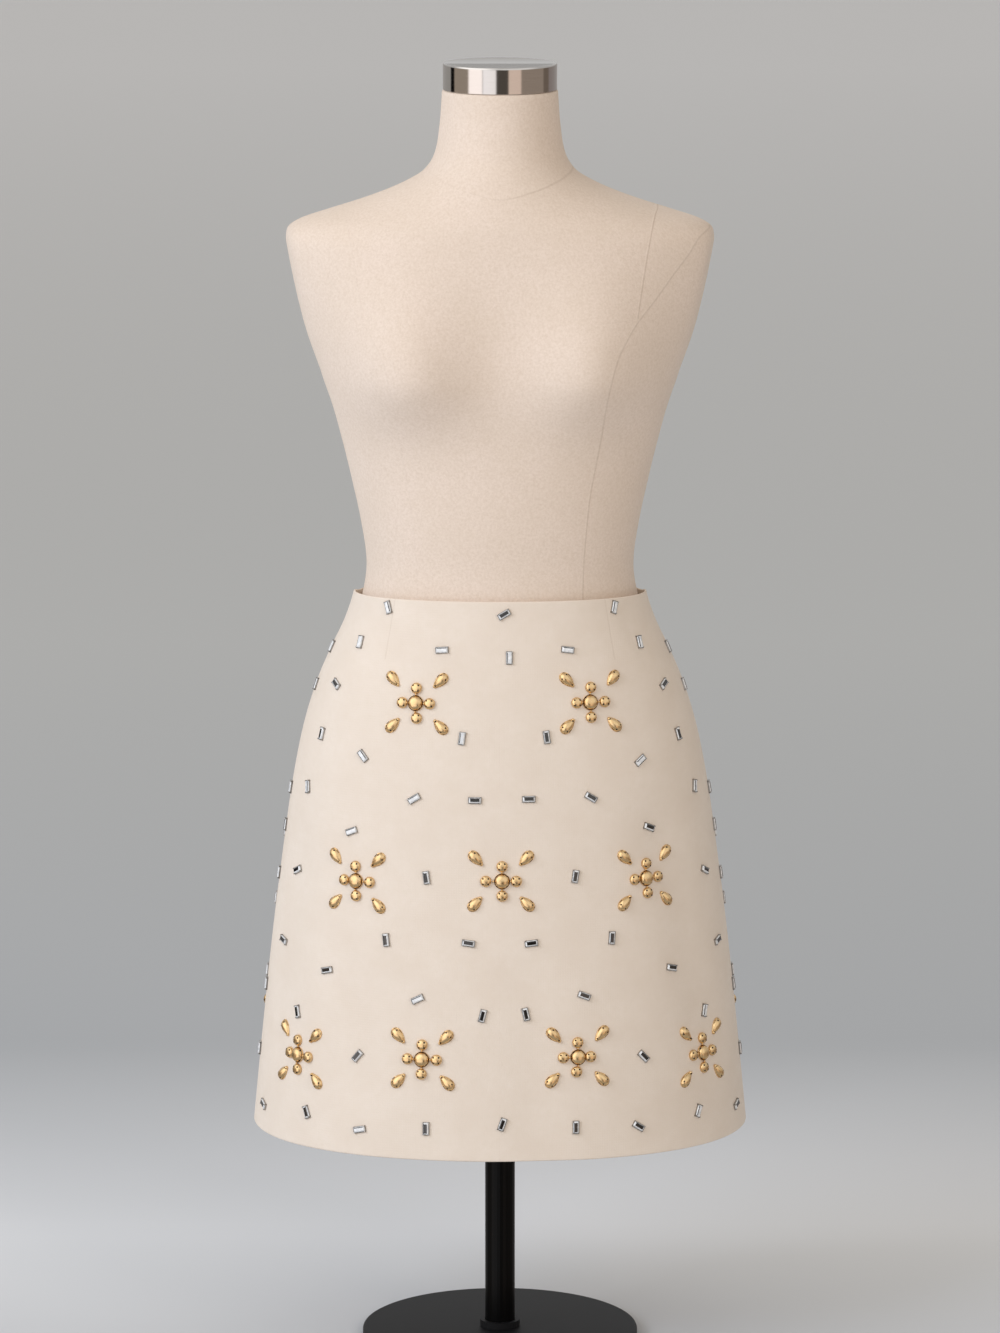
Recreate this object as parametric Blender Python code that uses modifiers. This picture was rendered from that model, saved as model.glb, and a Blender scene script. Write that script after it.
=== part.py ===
# Embellished A-line mini skirt standing on a limbless dress form.
# Metres, +Z up. The front faces -Y and the origin is the centre of the base plate's underside.

import math
import bmesh
import bpy
from mathutils import Matrix, Vector

MM = 0.001

# Driving sizes of the skirt, in metres
HEM_Z = 204 * MM
WAIST_Z = 689 * MM
FRONT_RISE = 5 * MM
SKIRT_LENGTH = 485 * MM
CLOTH = 2 * MM
SEAM_GAP = 0.3 * MM
FULLNESS = 0.012

# Skirt sections. Columns, mm: drop below the waist, half width, front depth, back depth
SKIRT_SECTIONS = [
    (0, 130.5, 91.5, 90.0),
    (12, 133.8, 93.5, 94.0),
    (30, 140.6, 97.0, 100.0),
    (50, 150.2, 101.0, 107.0),
    (80, 163.0, 107.5, 117.0),
    (120, 175.5, 115.5, 127.0),
    (170, 185.7, 124.0, 134.5),
    (230, 194.4, 132.0, 140.5),
    (310, 204.7, 142.5, 148.0),
    (400, 214.4, 153.0, 155.0),
    (485, 222.9, 161.5, 161.5),
]

# Soft hollows in the hanging cloth. Columns: angle from centre front at the top and at the
# bottom, top drop mm, bottom drop mm, half width in degrees, depth mm
SOFT_FOLDS = [
    (44, 60, 150, 440, 6.5, 3.0),
    (6, 9, 270, 485, 5.0, 1.8),
    (-36, -33, 290, 470, 6.0, 1.6),
    (-64, -66, 180, 450, 6.0, 2.0),
    (128, 122, 190, 485, 7.0, 2.4),
    (-146, -150, 230, 485, 7.0, 2.2),
]

# Drops of the cloth's mesh rows, mm, and its steps round each quarter
ROW_DROPS = [0, 7, 15, 23, 36, 56, 82, 112, 150, 195, 245, 300, 360, 420, 468, 485]
QUARTER_STEPS = 12

# Gold ornaments. Columns, mm: distance from the centre line, drop below the waist.
# On the front each is placed by itself; on the back each row is made on both sides.
FRONT_ORNAMENTS = [
    (-74, 88), (80.5, 87.5), (0.8, 240), (-130.5, 245), (134, 243), (-68.5, 396.5),
    (67.5, 394.5), (-194.5, 405.5), (197.5, 404.5),
]
BACK_ORNAMENTS = [(110, 88), (62, 242), (190, 242), (126, 399), (245, 402)]

# One ornament: a dome, four rounds beside it and four drops on the diagonals, mm
DOME_RADIUS = 6.4
DOME_HEIGHT = 4.6
ROUND_RADIUS = 5.0
ROUND_HEIGHT = 3.6
ROUND_OFFSET = 12.8
DROP_LENGTH = 16.0
DROP_WIDTH = 9.4
DROP_HEIGHT = 3.4
DROP_ACROSS = 21.5
DROP_UP = 19.5
BEAD_ROOT = 1.2

# Crystal baguettes, mm
STONE_LENGTH = 11.6
STONE_WIDTH = 5.8
STONE_HEIGHT = 3.0
STONE_TABLE = 0.72

# Baguettes on the front. Columns: mm from the centre line, drop mm, lean in degrees from
# upright, towards +X
FRONT_STONES = [
    (3, 11, 60), (-103, 8, -23), (106, 8, 20), (-134, 40, 1), (134, 40, 0), (7, 48, 0),
    (-51, 42, 86), (60, 42, -83), (-33, 117, 7), (41, 116, -7), (-174, 122, 5),
    (174, 122, -10), (-125, 136, -44), (128, 140, 54), (-21, 170, 90), (25, 169, 90),
    (-76, 170, 58), (80, 169, -58), (-191, 170, -14), (196, 170, 15), (-135, 202, 68),
    (137, 199, -68), (-64, 238, -10), (66, 237, 10), (-101, 294, -8), (100, 292, 6),
    (-26, 294, -83), (27, 294, 83), (-160, 326, 76), (160, 324, -76), (-73, 344, 63),
    (74, 341, -68), (-14, 357, 14), (21, 356, -12), (-197, 368, -20), (202, 368, 16),
    (-129, 398, 39), (129, 398, -44), (1, 452, 20), (-65, 457, -1), (66, 456, 1),
    (-127, 462, 77), (124, 459, -57), (-183, 454, -25), (189, 454, 26),
]
# Those near the side seams, on both halves, leaning to the outside
FRONT_EDGE_STONES = [
    (189, 50, 0), (160, 78, 60), (207, 84, 5), (240, 178, 0), (246, 212, 4), (206, 245, 115),
    (256, 256, 0), (225, 310, 75), (273, 358, 0), (284, 418, 0), (253, 461, 70),
]

# Baguettes on the back, with the same columns, measured from the centre back
BACK_STONES = [
    (58, 12, -12), (148, 14, 10), (30, 50, 8), (70, 78, 96), (158, 52, -15), (40, 112, 0),
    (168, 104, 30), (205, 118, -10), (70, 140, 60), (122, 146, 100), (26, 168, 90),
    (178, 172, 0), (228, 178, 12), (132, 200, 70), (24, 214, -8), (248, 222, 5),
    (126, 250, 5), (16, 268, 0), (262, 284, 0), (90, 300, 60), (28, 306, 98), (152, 296, -20),
    (222, 306, 110), (60, 346, 10), (184, 340, 75), (276, 350, 5), (22, 392, -10),
    (70, 408, 45), (186, 402, 5), (34, 448, 110), (92, 457, 0), (152, 459, 95),
    (208, 456, 10), (264, 458, 70),
]

# Form sections. Columns, mm: height, half width, front depth, back depth, fullness
FORM_SECTIONS = [
    (388, 154, 99, 105, 0.012),
    (396, 166, 108, 114, 0.012),
    (430, 174.5, 115, 120, 0.012),
    (494, 179.0, 117.5, 123, 0.012),
    (539, 177.4, 115.5, 121.5, 0.012),
    (577, 170.7, 110.9, 120.0, 0.012),
    (607, 160.0, 104.5, 112.5, 0.012),
    (633, 147.2, 97.5, 102.5, 0.012),
    (662, 131.3, 89.8, 90.5, 0.012),
    (689, 121.0, 85.0, 82.0, 0.012),
    (716, 119.2, 84.0, 79.0, 0.012),
    (752, 124.0, 86.0, 80.0, 0.012),
    (788, 131.6, 88.0, 85.0, 0.012),
    (824, 140.2, 90.0, 91.0, 0.012),
    (860, 150.2, 92.0, 97.0, 0.010),
    (896, 164.0, 93.0, 102.0, 0.006),
    (932, 179.0, 93.0, 105.0, 0.002),
    (967, 192.0, 92.0, 105.0, -0.002),
    (994, 198.0, 90.0, 102.0, -0.008),
    (1010, 196.0, 88.0, 99.0, -0.014),
    (1021, 180.0, 86.0, 95.0, -0.020),
    (1030, 153.0, 83.0, 90.0, -0.022),
    (1038, 127.0, 80.0, 85.0, -0.018),
    (1047, 101.6, 76.0, 79.0, -0.008),
    (1056, 81.7, 72.0, 73.0, 0.0),
    (1065, 67.6, 67.0, 66.0, 0.0),
    (1080, 58.0, 59.0, 58.5, 0.0),
    (1106, 53.4, 53.6, 53.4, 0.0),
    (1136, 51.2, 51.2, 51.2, 0.0),
]
FORM_STEPS = 48

# Arm plates: the form is flattened to a leaning plane on each side, mm
PLATE_TOP_Z = 1003
PLATE_TOP_X = 190.5
PLATE_LEAN = 0.19
PLATE_TURN = 0.10
PLATE_BOTTOM_Z = 865
PLATE_SOFTNESS = 7
PLATE_CLEAR = 200

# Bust, mm
BUST_X = 88
BUST_Z = 893
BUST_HEIGHT = 31
BUST_SPREAD_X = 41
BUST_SPREAD_UP = 52
BUST_SPREAD_DOWN = 36

# Stand, mm
BASE_RADIUS = 125
BASE_HEIGHT = 8
COLLAR_RADIUS = 18
COLLAR_HEIGHT = 6
POLE_RADIUS = 13.5
POLE_TOP = 449
FIT = 0.3
CAP_RADIUS = 50.4
CAP_BOTTOM = 1136.3
CAP_TOP = 1160

# Concealed zip in the centre back seam, mm
ZIP_TOP = 3
ZIP_BOTTOM = 205
TAPE_HALF_WIDTH = 12
TAPE_THICKNESS = 0.9
SLIDER_DROP = 9
SLIDER_HALF_LENGTH = 4.5
SLIDER_HALF_WIDTH = 1.0
NOTCH_HALF_WIDTH = 1.4
NOTCH_BOTTOM = 16
EYE_OUT = 2.4
EYE_HOLE = 1.15
EYE_RADIUS = 2.1
EYE_HALF_WIDTH = 0.6
PULL_THICKNESS = 1.0
PULL_LENGTH = 18
PULL_HALF_WIDTH = 2.5
PULL_LEAN = 4


def clearScene():
    for obj in list(bpy.data.objects):
        bpy.data.objects.remove(obj, do_unlink=True)


def makeCollection(name):
    collection = bpy.data.collections.new(name)
    bpy.context.scene.collection.children.link(collection)
    return collection


def makeMaterial(name, colour, roughness, metallic=0.0):
    material = bpy.data.materials.new(name)
    material.use_nodes = True
    shader = material.node_tree.nodes["Principled BSDF"]
    shader.inputs["Base Color"].default_value = (*colour, 1)
    shader.inputs["Roughness"].default_value = roughness
    shader.inputs["Metallic"].default_value = metallic
    return material


def addObject(name, mesh, collection, material=None):
    obj = bpy.data.objects.new(name, mesh)
    collection.objects.link(obj)
    if material:
        mesh.materials.append(material)
    return obj


def meshFromBmesh(name, bm):
    bmesh.ops.recalc_face_normals(bm, faces=bm.faces)
    mesh = bpy.data.meshes.new(name)
    bm.to_mesh(mesh)
    bm.free()
    mesh.shade_smooth()
    mesh.set_sharp_from_angle(angle=math.radians(35))
    return mesh


# A smooth curve through one column of a table, read at a value of its first column
def readTable(table, column, at):
    last = len(table) - 1
    row = 0
    while row < last - 1 and at > table[row + 1][0]:
        row += 1

    def slope(k):
        low, high = max(0, k - 1), min(last, k + 1)
        return (table[high][column] - table[low][column]) / (table[high][0] - table[low][0])

    span = table[row + 1][0] - table[row][0]
    u = min(1, max(0, (at - table[row][0]) / span))
    start, end = table[row][column], table[row + 1][column]
    rise, fall = slope(row) * span, slope(row + 1) * span
    return ((2 * u ** 3 - 3 * u ** 2 + 1) * start + (u ** 3 - 2 * u ** 2 + u) * rise
            + (3 * u ** 2 - 2 * u ** 3) * end + (u ** 3 - u ** 2) * fall)


def smoothStep(low, high, value):
    u = min(1, max(0, (value - low) / (high - low)))
    return u * u * (3 - 2 * u)


# Rounded oval: angle 0 is the centre front, a quarter turn is the +X side
def ovalPoint(angle, halfWidth, front, back, fullness):
    depth = front if math.cos(angle) > 0 else back
    x = halfWidth * (math.sin(angle) + fullness * math.sin(3 * angle)) / (1 - fullness)
    y = -depth * (math.cos(angle) - fullness * math.cos(3 * angle)) / (1 - fullness)
    return x, y


# How far the hanging cloth sinks in at an angle and a drop, in mm
def foldDepth(angle, drop):
    depth = 0
    for topAngle, bottomAngle, top, bottom, halfWidth, deepest in SOFT_FOLDS:
        along = min(1, max(0, (drop - top) / (bottom - top)))
        centre = math.radians(topAngle + (bottomAngle - topAngle) * along)
        apart = (angle - centre + math.pi) % (2 * math.pi) - math.pi
        window = smoothStep(top, top + 70, drop)
        if bottom < SKIRT_LENGTH / MM:
            window *= 1 - smoothStep(bottom - 60, bottom, drop)
        depth += deepest * window * math.exp(-(apart / math.radians(halfWidth)) ** 2 / 2)
    return depth


# Outer face of the cloth, in metres, before it is thickened
def skirtPoint(angle, drop):
    half = readTable(SKIRT_SECTIONS, 1, drop)
    front = readTable(SKIRT_SECTIONS, 2, drop)
    back = readTable(SKIRT_SECTIONS, 3, drop)
    sunk = foldDepth(angle, drop)
    x, y = ovalPoint(angle, half - sunk, front - sunk, back - sunk, FULLNESS)
    top = WAIST_Z + FRONT_RISE * max(0, math.cos(angle))
    z = HEM_Z + (top - HEM_Z) * (1 - drop * MM / SKIRT_LENGTH)
    return Vector((x * MM, y * MM, z))


# A point of the cloth with its directions across, up and out
def skirtFrame(angle, drop):
    step = 0.004
    low, high = max(0, drop - 1), min(SKIRT_LENGTH / MM, drop + 1)
    across = (skirtPoint(angle + step, drop) - skirtPoint(angle - step, drop)).normalized()
    up = (skirtPoint(angle, low) - skirtPoint(angle, high)).normalized()
    out = across.cross(up).normalized()
    return skirtPoint(angle, drop), across, out.cross(across), out


def skirtOffset(angle, drop, outward):
    point, across, up, out = skirtFrame(angle, drop)
    return point + out * outward


# Angle that lies a distance in mm along the cloth from the centre front or the centre back
def angleAt(distance, drop, fromBack):
    start = math.pi if fromBack else 0
    turn = -1 if fromBack else 1
    side = math.copysign(1, distance)
    step = math.radians(0.5)
    angle, length, last = start, 0, skirtPoint(start, drop)
    while length < abs(distance) * MM:
        angle += step * side * turn
        point = skirtPoint(angle, drop)
        length += (point - last).length
        last = point
    return angle


# A cloth wall between two edges, each given as an angle for every row
def wallPanel(name, leftEdge, rightEdge, steps, drops, outer, inner):
    bm = bmesh.new()
    layers = []
    for offset in (outer, inner):
        layer = []
        for drop in drops:
            left, right = leftEdge(drop), rightEdge(drop)
            angles = [left + (right - left) * i / steps for i in range(steps + 1)]
            layer.append([bm.verts.new(skirtOffset(angle, drop, offset)) for angle in angles])
        layers.append(layer)
    outside, inside = layers
    for row in range(len(drops) - 1):
        for i in range(steps):
            for layer in layers:
                bm.faces.new((layer[row][i], layer[row + 1][i],
                              layer[row + 1][i + 1], layer[row][i + 1]))
        for end in (0, steps):
            bm.faces.new((outside[row][end], outside[row + 1][end],
                          inside[row + 1][end], inside[row][end]))
    for i in range(steps):
        for row in (0, len(drops) - 1):
            bm.faces.new((outside[row][i], outside[row][i + 1],
                          inside[row][i + 1], inside[row][i]))
    return meshFromBmesh(name, bm)


# A raised bead: its outline at the root, the same outline drawn in at each level, and a top.
# Levels are pairs of height in mm and share of the outline's size.
def addBead(bm, place, outline, levels):
    rings = []
    for height, share in levels:
        ring = [bm.verts.new(place @ Vector((x * share * MM, y * share * MM, height * MM)))
                for x, y in outline]
        rings.append(ring)
    count = len(outline)
    for low, high in zip(rings, rings[1:]):
        for i in range(count):
            j = (i + 1) % count
            bm.faces.new((low[i], low[j], high[j], high[i]))
    bm.faces.new(reversed(rings[0]))
    bm.faces.new(rings[-1])


def placeOnCloth(angle, drop, lean):
    point, across, up, out = skirtFrame(angle, drop)
    place = Matrix((across, up, out)).transposed().to_4x4()
    place.translation = point
    return place @ Matrix.Rotation(-lean, 4, "Z")


def circleOutline(radius, count):
    turns = [2 * math.pi * (i + 0.5) / count for i in range(count)]
    return [(radius * math.cos(turn), radius * math.sin(turn)) for turn in turns]


# Teardrop along +Y with its point at the low end
def dropOutline(length, width):
    wide = width / 2
    middle = length / 2 - wide
    arc = [math.radians(turn) for turn in (-10, 35, 90, 145, 190)]
    top = [(wide * math.cos(turn), middle + wide * math.sin(turn)) for turn in arc]
    return top + [(-0.2 * wide, -length / 2), (0.2 * wide, -length / 2)]


def addOrnament(bm, centre, drop, fromBack):
    turn = -1 if fromBack else 1

    def angle(across, down):
        return angleAt(centre + across, drop + down, fromBack)

    domeLevels = [(-BEAD_ROOT, 1.0), (2.6, 0.86), (DOME_HEIGHT, 0.4)]
    addBead(bm, placeOnCloth(angle(0, 0), drop, 0), circleOutline(DOME_RADIUS, 8), domeLevels)
    roundLevels = [(-BEAD_ROOT, 1.0), (ROUND_HEIGHT, 0.62)]
    for across, down in ((0, -1), (0, 1), (-1, 0), (1, 0)):
        place = placeOnCloth(angle(across * ROUND_OFFSET, down * ROUND_OFFSET),
                             drop + down * ROUND_OFFSET, 0)
        addBead(bm, place, circleOutline(ROUND_RADIUS, 6), roundLevels)
    dropLevels = [(-BEAD_ROOT, 1.0), (DROP_HEIGHT, 0.58)]
    tilt = math.radians(44)
    for across in (-1, 1):
        for down in (-1, 1):
            place = placeOnCloth(angle(across * DROP_ACROSS, down * DROP_UP),
                                 drop + down * DROP_UP, 0)
            lean = across * turn * (tilt if down < 0 else math.pi - tilt)
            place = place @ Matrix.Rotation(-lean, 4, "Z")
            addBead(bm, place, dropOutline(DROP_LENGTH, DROP_WIDTH), dropLevels)


def addStone(bm, centre, drop, lean, fromBack):
    place = placeOnCloth(angleAt(centre, drop, fromBack), drop, math.radians(lean))
    half, tall = STONE_WIDTH / 2, STONE_LENGTH / 2
    outline = [(-half, -tall), (half, -tall), (half, tall), (-half, tall)]
    addBead(bm, place, outline, [(-BEAD_ROOT, 1.0), (STONE_HEIGHT, STONE_TABLE)])


# Raises a panel's beads out of its outer face
def raiseBeads(panel, ornaments, stones, fromBack, collection):
    bm = bmesh.new()
    for centre, drop in ornaments:
        addOrnament(bm, centre, drop, fromBack)
    for centre, drop, lean in stones:
        addStone(bm, centre, drop, lean, fromBack)
    beads = addObject(panel.name + "_beads", meshFromBmesh(panel.name + "_beads", bm), collection)
    beads.hide_render = True
    beads.display_type = "WIRE"
    union = panel.modifiers.new("beads", "BOOLEAN")
    union.operation = "UNION"
    union.object = beads


def skirtPanels(parts, cutters):
    cloth = makeMaterial("skirt_cloth", (0.78, 0.66, 0.57), 0.75)
    quarter = math.pi / 2

    def sideAngle(drop):
        return quarter - SEAM_GAP / 2 / (readTable(SKIRT_SECTIONS, 2, drop) * MM)

    def backSideAngle(drop):
        return quarter + SEAM_GAP / 2 / (readTable(SKIRT_SECTIONS, 3, drop) * MM)

    def backAngle(drop):
        half = NOTCH_HALF_WIDTH * MM if drop < NOTCH_BOTTOM else SEAM_GAP / 2
        return math.pi - half / (readTable(SKIRT_SECTIONS, 1, drop) * MM)

    def panel(name, left, right, steps):
        mesh = wallPanel(name, left, right, steps, ROW_DROPS, 0, -CLOTH)
        return addObject(name, mesh, parts, cloth)

    front = panel("skirt_front", lambda d: -sideAngle(d), sideAngle, 2 * QUARTER_STEPS)
    right = panel("skirt_back_right", backSideAngle, backAngle, QUARTER_STEPS)
    left = panel("skirt_back_left", lambda d: -backAngle(d), lambda d: -backSideAngle(d),
                 QUARTER_STEPS)

    stones = [(side * centre, drop, side * lean) for centre, drop, lean in FRONT_EDGE_STONES
              for side in (-1, 1)]
    raiseBeads(front, FRONT_ORNAMENTS, FRONT_STONES + stones, False, cutters)
    for obj, side in ((right, 1), (left, -1)):
        ornaments = [(side * centre, drop) for centre, drop in BACK_ORNAMENTS]
        stones = [(side * centre, drop, -side * lean) for centre, drop, lean in BACK_STONES]
        raiseBeads(obj, ornaments, stones, True, cutters)


# A point on the form's cover at a height in mm
def formPoint(angle, height):
    half, front, back, fullness = (readTable(FORM_SECTIONS, c, height) for c in (1, 2, 3, 4))
    x, y = ovalPoint(angle, half, front, back, fullness)
    if y < 0:
        spread = BUST_SPREAD_UP if height > BUST_Z else BUST_SPREAD_DOWN
        aside = (abs(x) - BUST_X) / BUST_SPREAD_X
        above = (height - BUST_Z) / spread
        swell = BUST_HEIGHT * math.exp(-(aside ** 2 + above ** 2) / 2)
        y -= swell * smoothStep(0, 0.35, math.cos(angle))
    fall = max(0, PLATE_TOP_Z - max(height, PLATE_BOTTOM_Z))
    plane = PLATE_TOP_X - PLATE_LEAN * fall + PLATE_TURN * y
    plane += PLATE_CLEAR * (1 - smoothStep(PLATE_BOTTOM_Z - 45, PLATE_BOTTOM_Z + 25, height))
    size = abs(x)
    size = (size + plane - math.sqrt((size - plane) ** 2 + PLATE_SOFTNESS ** 2)) / 2
    return Vector((math.copysign(size, x) * MM, y * MM, height * MM))


def dressForm(parts, cutters):
    bm = bmesh.new()
    angles = [2 * math.pi * i / FORM_STEPS for i in range(FORM_STEPS)]
    rings = [[bm.verts.new(formPoint(angle, row[0])) for angle in angles]
             for row in FORM_SECTIONS]
    for low, high in zip(rings, rings[1:]):
        for i in range(FORM_STEPS):
            j = (i + 1) % FORM_STEPS
            bm.faces.new((low[i], low[j], high[j], high[i]))
    bm.faces.new(reversed(rings[0]))
    bm.faces.new(rings[-1])
    linen = makeMaterial("form_linen", (0.62, 0.50, 0.41), 0.85)
    form = addObject("form_torso", meshFromBmesh("form_torso", bm), parts, linen)

    bottom = FORM_SECTIONS[0][0]
    socket = addCylinder("pole_socket", POLE_RADIUS + FIT, bottom - 10, POLE_TOP + FIT, cutters, 24)
    socket.hide_render = True
    socket.display_type = "WIRE"
    cut = form.modifiers.new("pole socket", "BOOLEAN")
    cut.operation = "DIFFERENCE"
    cut.object = socket


def addCylinder(name, radius, bottom, top, collection, sides, material=None):
    bm = bmesh.new()
    bmesh.ops.create_cone(bm, cap_ends=True, segments=sides, radius1=radius * MM,
                          radius2=radius * MM, depth=(top - bottom) * MM)
    bmesh.ops.translate(bm, verts=bm.verts, vec=(0, 0, (top + bottom) / 2 * MM))
    return addObject(name, meshFromBmesh(name, bm), collection, material)


def addBevel(obj, width, segments):
    bevel = obj.modifiers.new("soft edge", "BEVEL")
    bevel.width = width * MM
    bevel.segments = segments
    bevel.limit_method = "ANGLE"


def stand(parts, cutters):
    black = makeMaterial("black_enamel", (0.02, 0.02, 0.02), 0.25)
    charcoal = makeMaterial("charcoal_powder_coat", (0.03, 0.03, 0.03), 0.6)
    steel = makeMaterial("brushed_steel", (0.62, 0.60, 0.57), 0.3, 1.0)

    base = addCylinder("base_plate", BASE_RADIUS, 0, BASE_HEIGHT, parts, 56, charcoal)
    addBevel(base, 1.2, 1)
    seat = BASE_HEIGHT + FIT
    addCylinder("pole", POLE_RADIUS, seat, POLE_TOP, parts, 32, black)
    cap = addCylinder("neck_cap", CAP_RADIUS, CAP_BOTTOM, CAP_TOP, parts, 48, steel)
    addBevel(cap, 1.6, 1)

    collar = addCylinder("base_collar", COLLAR_RADIUS, seat, seat + COLLAR_HEIGHT, parts, 32,
                         charcoal)
    hole = addCylinder("collar_hole", POLE_RADIUS + FIT, seat - 5, seat + COLLAR_HEIGHT + 5,
                       cutters, 32)
    hole.hide_render = True
    hole.display_type = "WIRE"
    cut = collar.modifiers.new("pole hole", "BOOLEAN")
    cut.operation = "DIFFERENCE"
    cut.object = hole


def zipTape(parts):
    nylon = makeMaterial("zip_tape_nylon", (0.74, 0.62, 0.53), 0.7)

    def edge(side):
        return lambda drop: math.pi + side * TAPE_HALF_WIDTH / readTable(SKIRT_SECTIONS, 1, drop)

    drops = [ZIP_TOP] + [drop for drop in ROW_DROPS if ZIP_TOP < drop < ZIP_BOTTOM] + [ZIP_BOTTOM]
    outer = -CLOTH - SEAM_GAP
    mesh = wallPanel("zip_tape", edge(-1), edge(1), 4, drops, outer, outer - TAPE_THICKNESS * MM)
    addObject("zip_tape", mesh, parts, nylon)


# The slider stands in the parted top of the seam, with an eye that the pull hangs from
def zipSlider(parts, cutters):
    metal = makeMaterial("satin_gold_plate", (0.72, 0.50, 0.26), 0.35, 1.0)
    place = placeOnCloth(math.pi, SLIDER_DROP, 0)

    bm = bmesh.new()
    low, high = -CLOTH / MM, 0.7
    size = (2 * SLIDER_HALF_WIDTH, 2 * SLIDER_HALF_LENGTH, high - low)
    bmesh.ops.create_cube(bm, size=1, matrix=Matrix.Diagonal((*(s * MM for s in size), 1)))
    bmesh.ops.translate(bm, verts=bm.verts, vec=(0, 0, (high + low) / 2 * MM))
    bmesh.ops.transform(bm, matrix=place, verts=bm.verts)
    slider = addObject("zip_slider", meshFromBmesh("zip_slider", bm), parts, metal)

    def eyeDisc(name, radius, halfWidth):
        bm = bmesh.new()
        bmesh.ops.create_cone(bm, cap_ends=True, segments=16, radius1=radius * MM,
                              radius2=radius * MM, depth=2 * halfWidth * MM)
        turn = Matrix.Rotation(math.pi / 2, 4, "Y")
        lift = Matrix.Translation((0, 0, EYE_OUT * MM))
        bmesh.ops.transform(bm, matrix=place @ lift @ turn, verts=bm.verts)
        disc = addObject(name, meshFromBmesh(name, bm), cutters)
        disc.hide_render = True
        disc.display_type = "WIRE"
        return disc

    for name, radius, halfWidth, operation in (
            ("eye_ring", EYE_RADIUS, EYE_HALF_WIDTH, "UNION"),
            ("eye_hole", EYE_HOLE, 3 * EYE_HALF_WIDTH, "DIFFERENCE")):
        step = slider.modifiers.new(name, "BOOLEAN")
        step.operation = operation
        step.object = eyeDisc(name, radius, halfWidth)
    return place, metal


# Pull tab: a flat teardrop with a slot near its top, whose bar passes through the eye.
# Its origin is the hinge, in the middle of the bar.
def zipPull(parts, place, metal):
    bar = PULL_THICKNESS / 2
    slotBottom = -3.5
    curve = bpy.data.curves.new("zip_pull", "CURVE")
    curve.dimensions = "2D"
    curve.fill_mode = "BOTH"
    curve.extrude = bar * MM
    lower = -PULL_LENGTH + PULL_HALF_WIDTH
    turns = [math.radians(-180 + 180 * i / 8) for i in range(9)]
    outline = [(2.1, bar), (-2.1, bar), (-2.1, slotBottom)]
    outline += [(PULL_HALF_WIDTH * math.cos(t), lower + PULL_HALF_WIDTH * math.sin(t)) for t in turns]
    outline += [(2.1, slotBottom)]
    slot = [(-1.1, -bar), (1.1, -bar), (1.1, slotBottom), (-1.1, slotBottom)]
    for points in (outline, slot):
        spline = curve.splines.new("POLY")
        spline.points.add(len(points) - 1)
        for point, (x, y) in zip(spline.points, points):
            point.co = (x * MM, y * MM, 0, 1)
        spline.use_cyclic_u = True
    shape = bpy.data.objects.new("zip_pull_outline", curve)
    parts.objects.link(shape)
    bpy.context.view_layer.update()
    mesh = bpy.data.meshes.new_from_object(shape.evaluated_get(bpy.context.evaluated_depsgraph_get()))
    bpy.data.objects.remove(shape, do_unlink=True)
    bm = bmesh.new()
    bm.from_mesh(mesh)
    bmesh.ops.remove_doubles(bm, verts=bm.verts, dist=0.00001)
    pull = addObject("zip_pull", meshFromBmesh("zip_pull", bm), parts, metal)
    hinge = place @ Matrix.Translation((0, 0, EYE_OUT * MM))
    pull.matrix_world = hinge @ Matrix.Rotation(math.radians(PULL_LEAN), 4, "X")


def main():
    clearScene()
    parts = makeCollection("embellished_skirt_on_dress_form")
    cutters = makeCollection("cutters")
    skirtPanels(parts, cutters)
    zipTape(parts)
    place, metal = zipSlider(parts, cutters)
    zipPull(parts, place, metal)
    dressForm(parts, cutters)
    stand(parts, cutters)


main()
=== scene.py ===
import functools
import math

import bmesh
import bpy
from mathutils import Matrix, Vector
from mathutils.bvhtree import BVHTree


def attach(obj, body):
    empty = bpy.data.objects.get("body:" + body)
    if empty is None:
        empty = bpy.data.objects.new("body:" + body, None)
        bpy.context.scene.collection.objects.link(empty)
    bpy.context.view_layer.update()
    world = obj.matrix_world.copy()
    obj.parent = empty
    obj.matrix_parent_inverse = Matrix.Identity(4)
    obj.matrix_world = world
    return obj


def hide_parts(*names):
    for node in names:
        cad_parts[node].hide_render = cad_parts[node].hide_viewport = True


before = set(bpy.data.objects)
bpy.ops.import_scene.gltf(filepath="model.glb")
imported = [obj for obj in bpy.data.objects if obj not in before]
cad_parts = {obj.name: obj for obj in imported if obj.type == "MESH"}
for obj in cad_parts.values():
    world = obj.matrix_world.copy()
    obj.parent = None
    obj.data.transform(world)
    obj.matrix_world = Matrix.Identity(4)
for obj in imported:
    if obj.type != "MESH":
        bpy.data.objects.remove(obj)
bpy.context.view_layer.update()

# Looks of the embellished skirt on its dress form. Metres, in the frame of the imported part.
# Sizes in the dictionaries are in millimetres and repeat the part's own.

mm = 0.001


def srgb(code):
    values = [int(code[i:i + 2], 16) / 255 for i in (1, 3, 5)]
    linear = [v / 12.92 if v <= 0.04045 else ((v + 0.055) / 1.055) ** 2.4 for v in values]
    return (*linear, 1)


# Adds a node. A socket given as an input is linked, anything else is set as its value.
def addNode(tree, kind, inputs=None, **settings):
    node = tree.nodes.new("ShaderNode" + kind)
    for key, value in settings.items():
        setattr(node, key, value)
    for key, value in (inputs or {}).items():
        if isinstance(value, bpy.types.NodeSocket):
            tree.links.new(value, node.inputs[key])
        else:
            node.inputs[key].default_value = value
    return node


def newMaterial(name, colour, roughness, **sockets):
    material = bpy.data.materials.new(name)
    material.use_nodes = True
    shader = material.node_tree.nodes["Principled BSDF"]
    shader.inputs["Base Color"].default_value = srgb(colour)
    shader.inputs["Roughness"].default_value = roughness
    for key, value in sockets.items():
        shader.inputs[key].default_value = value
    return material, material.node_tree, shader


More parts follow.
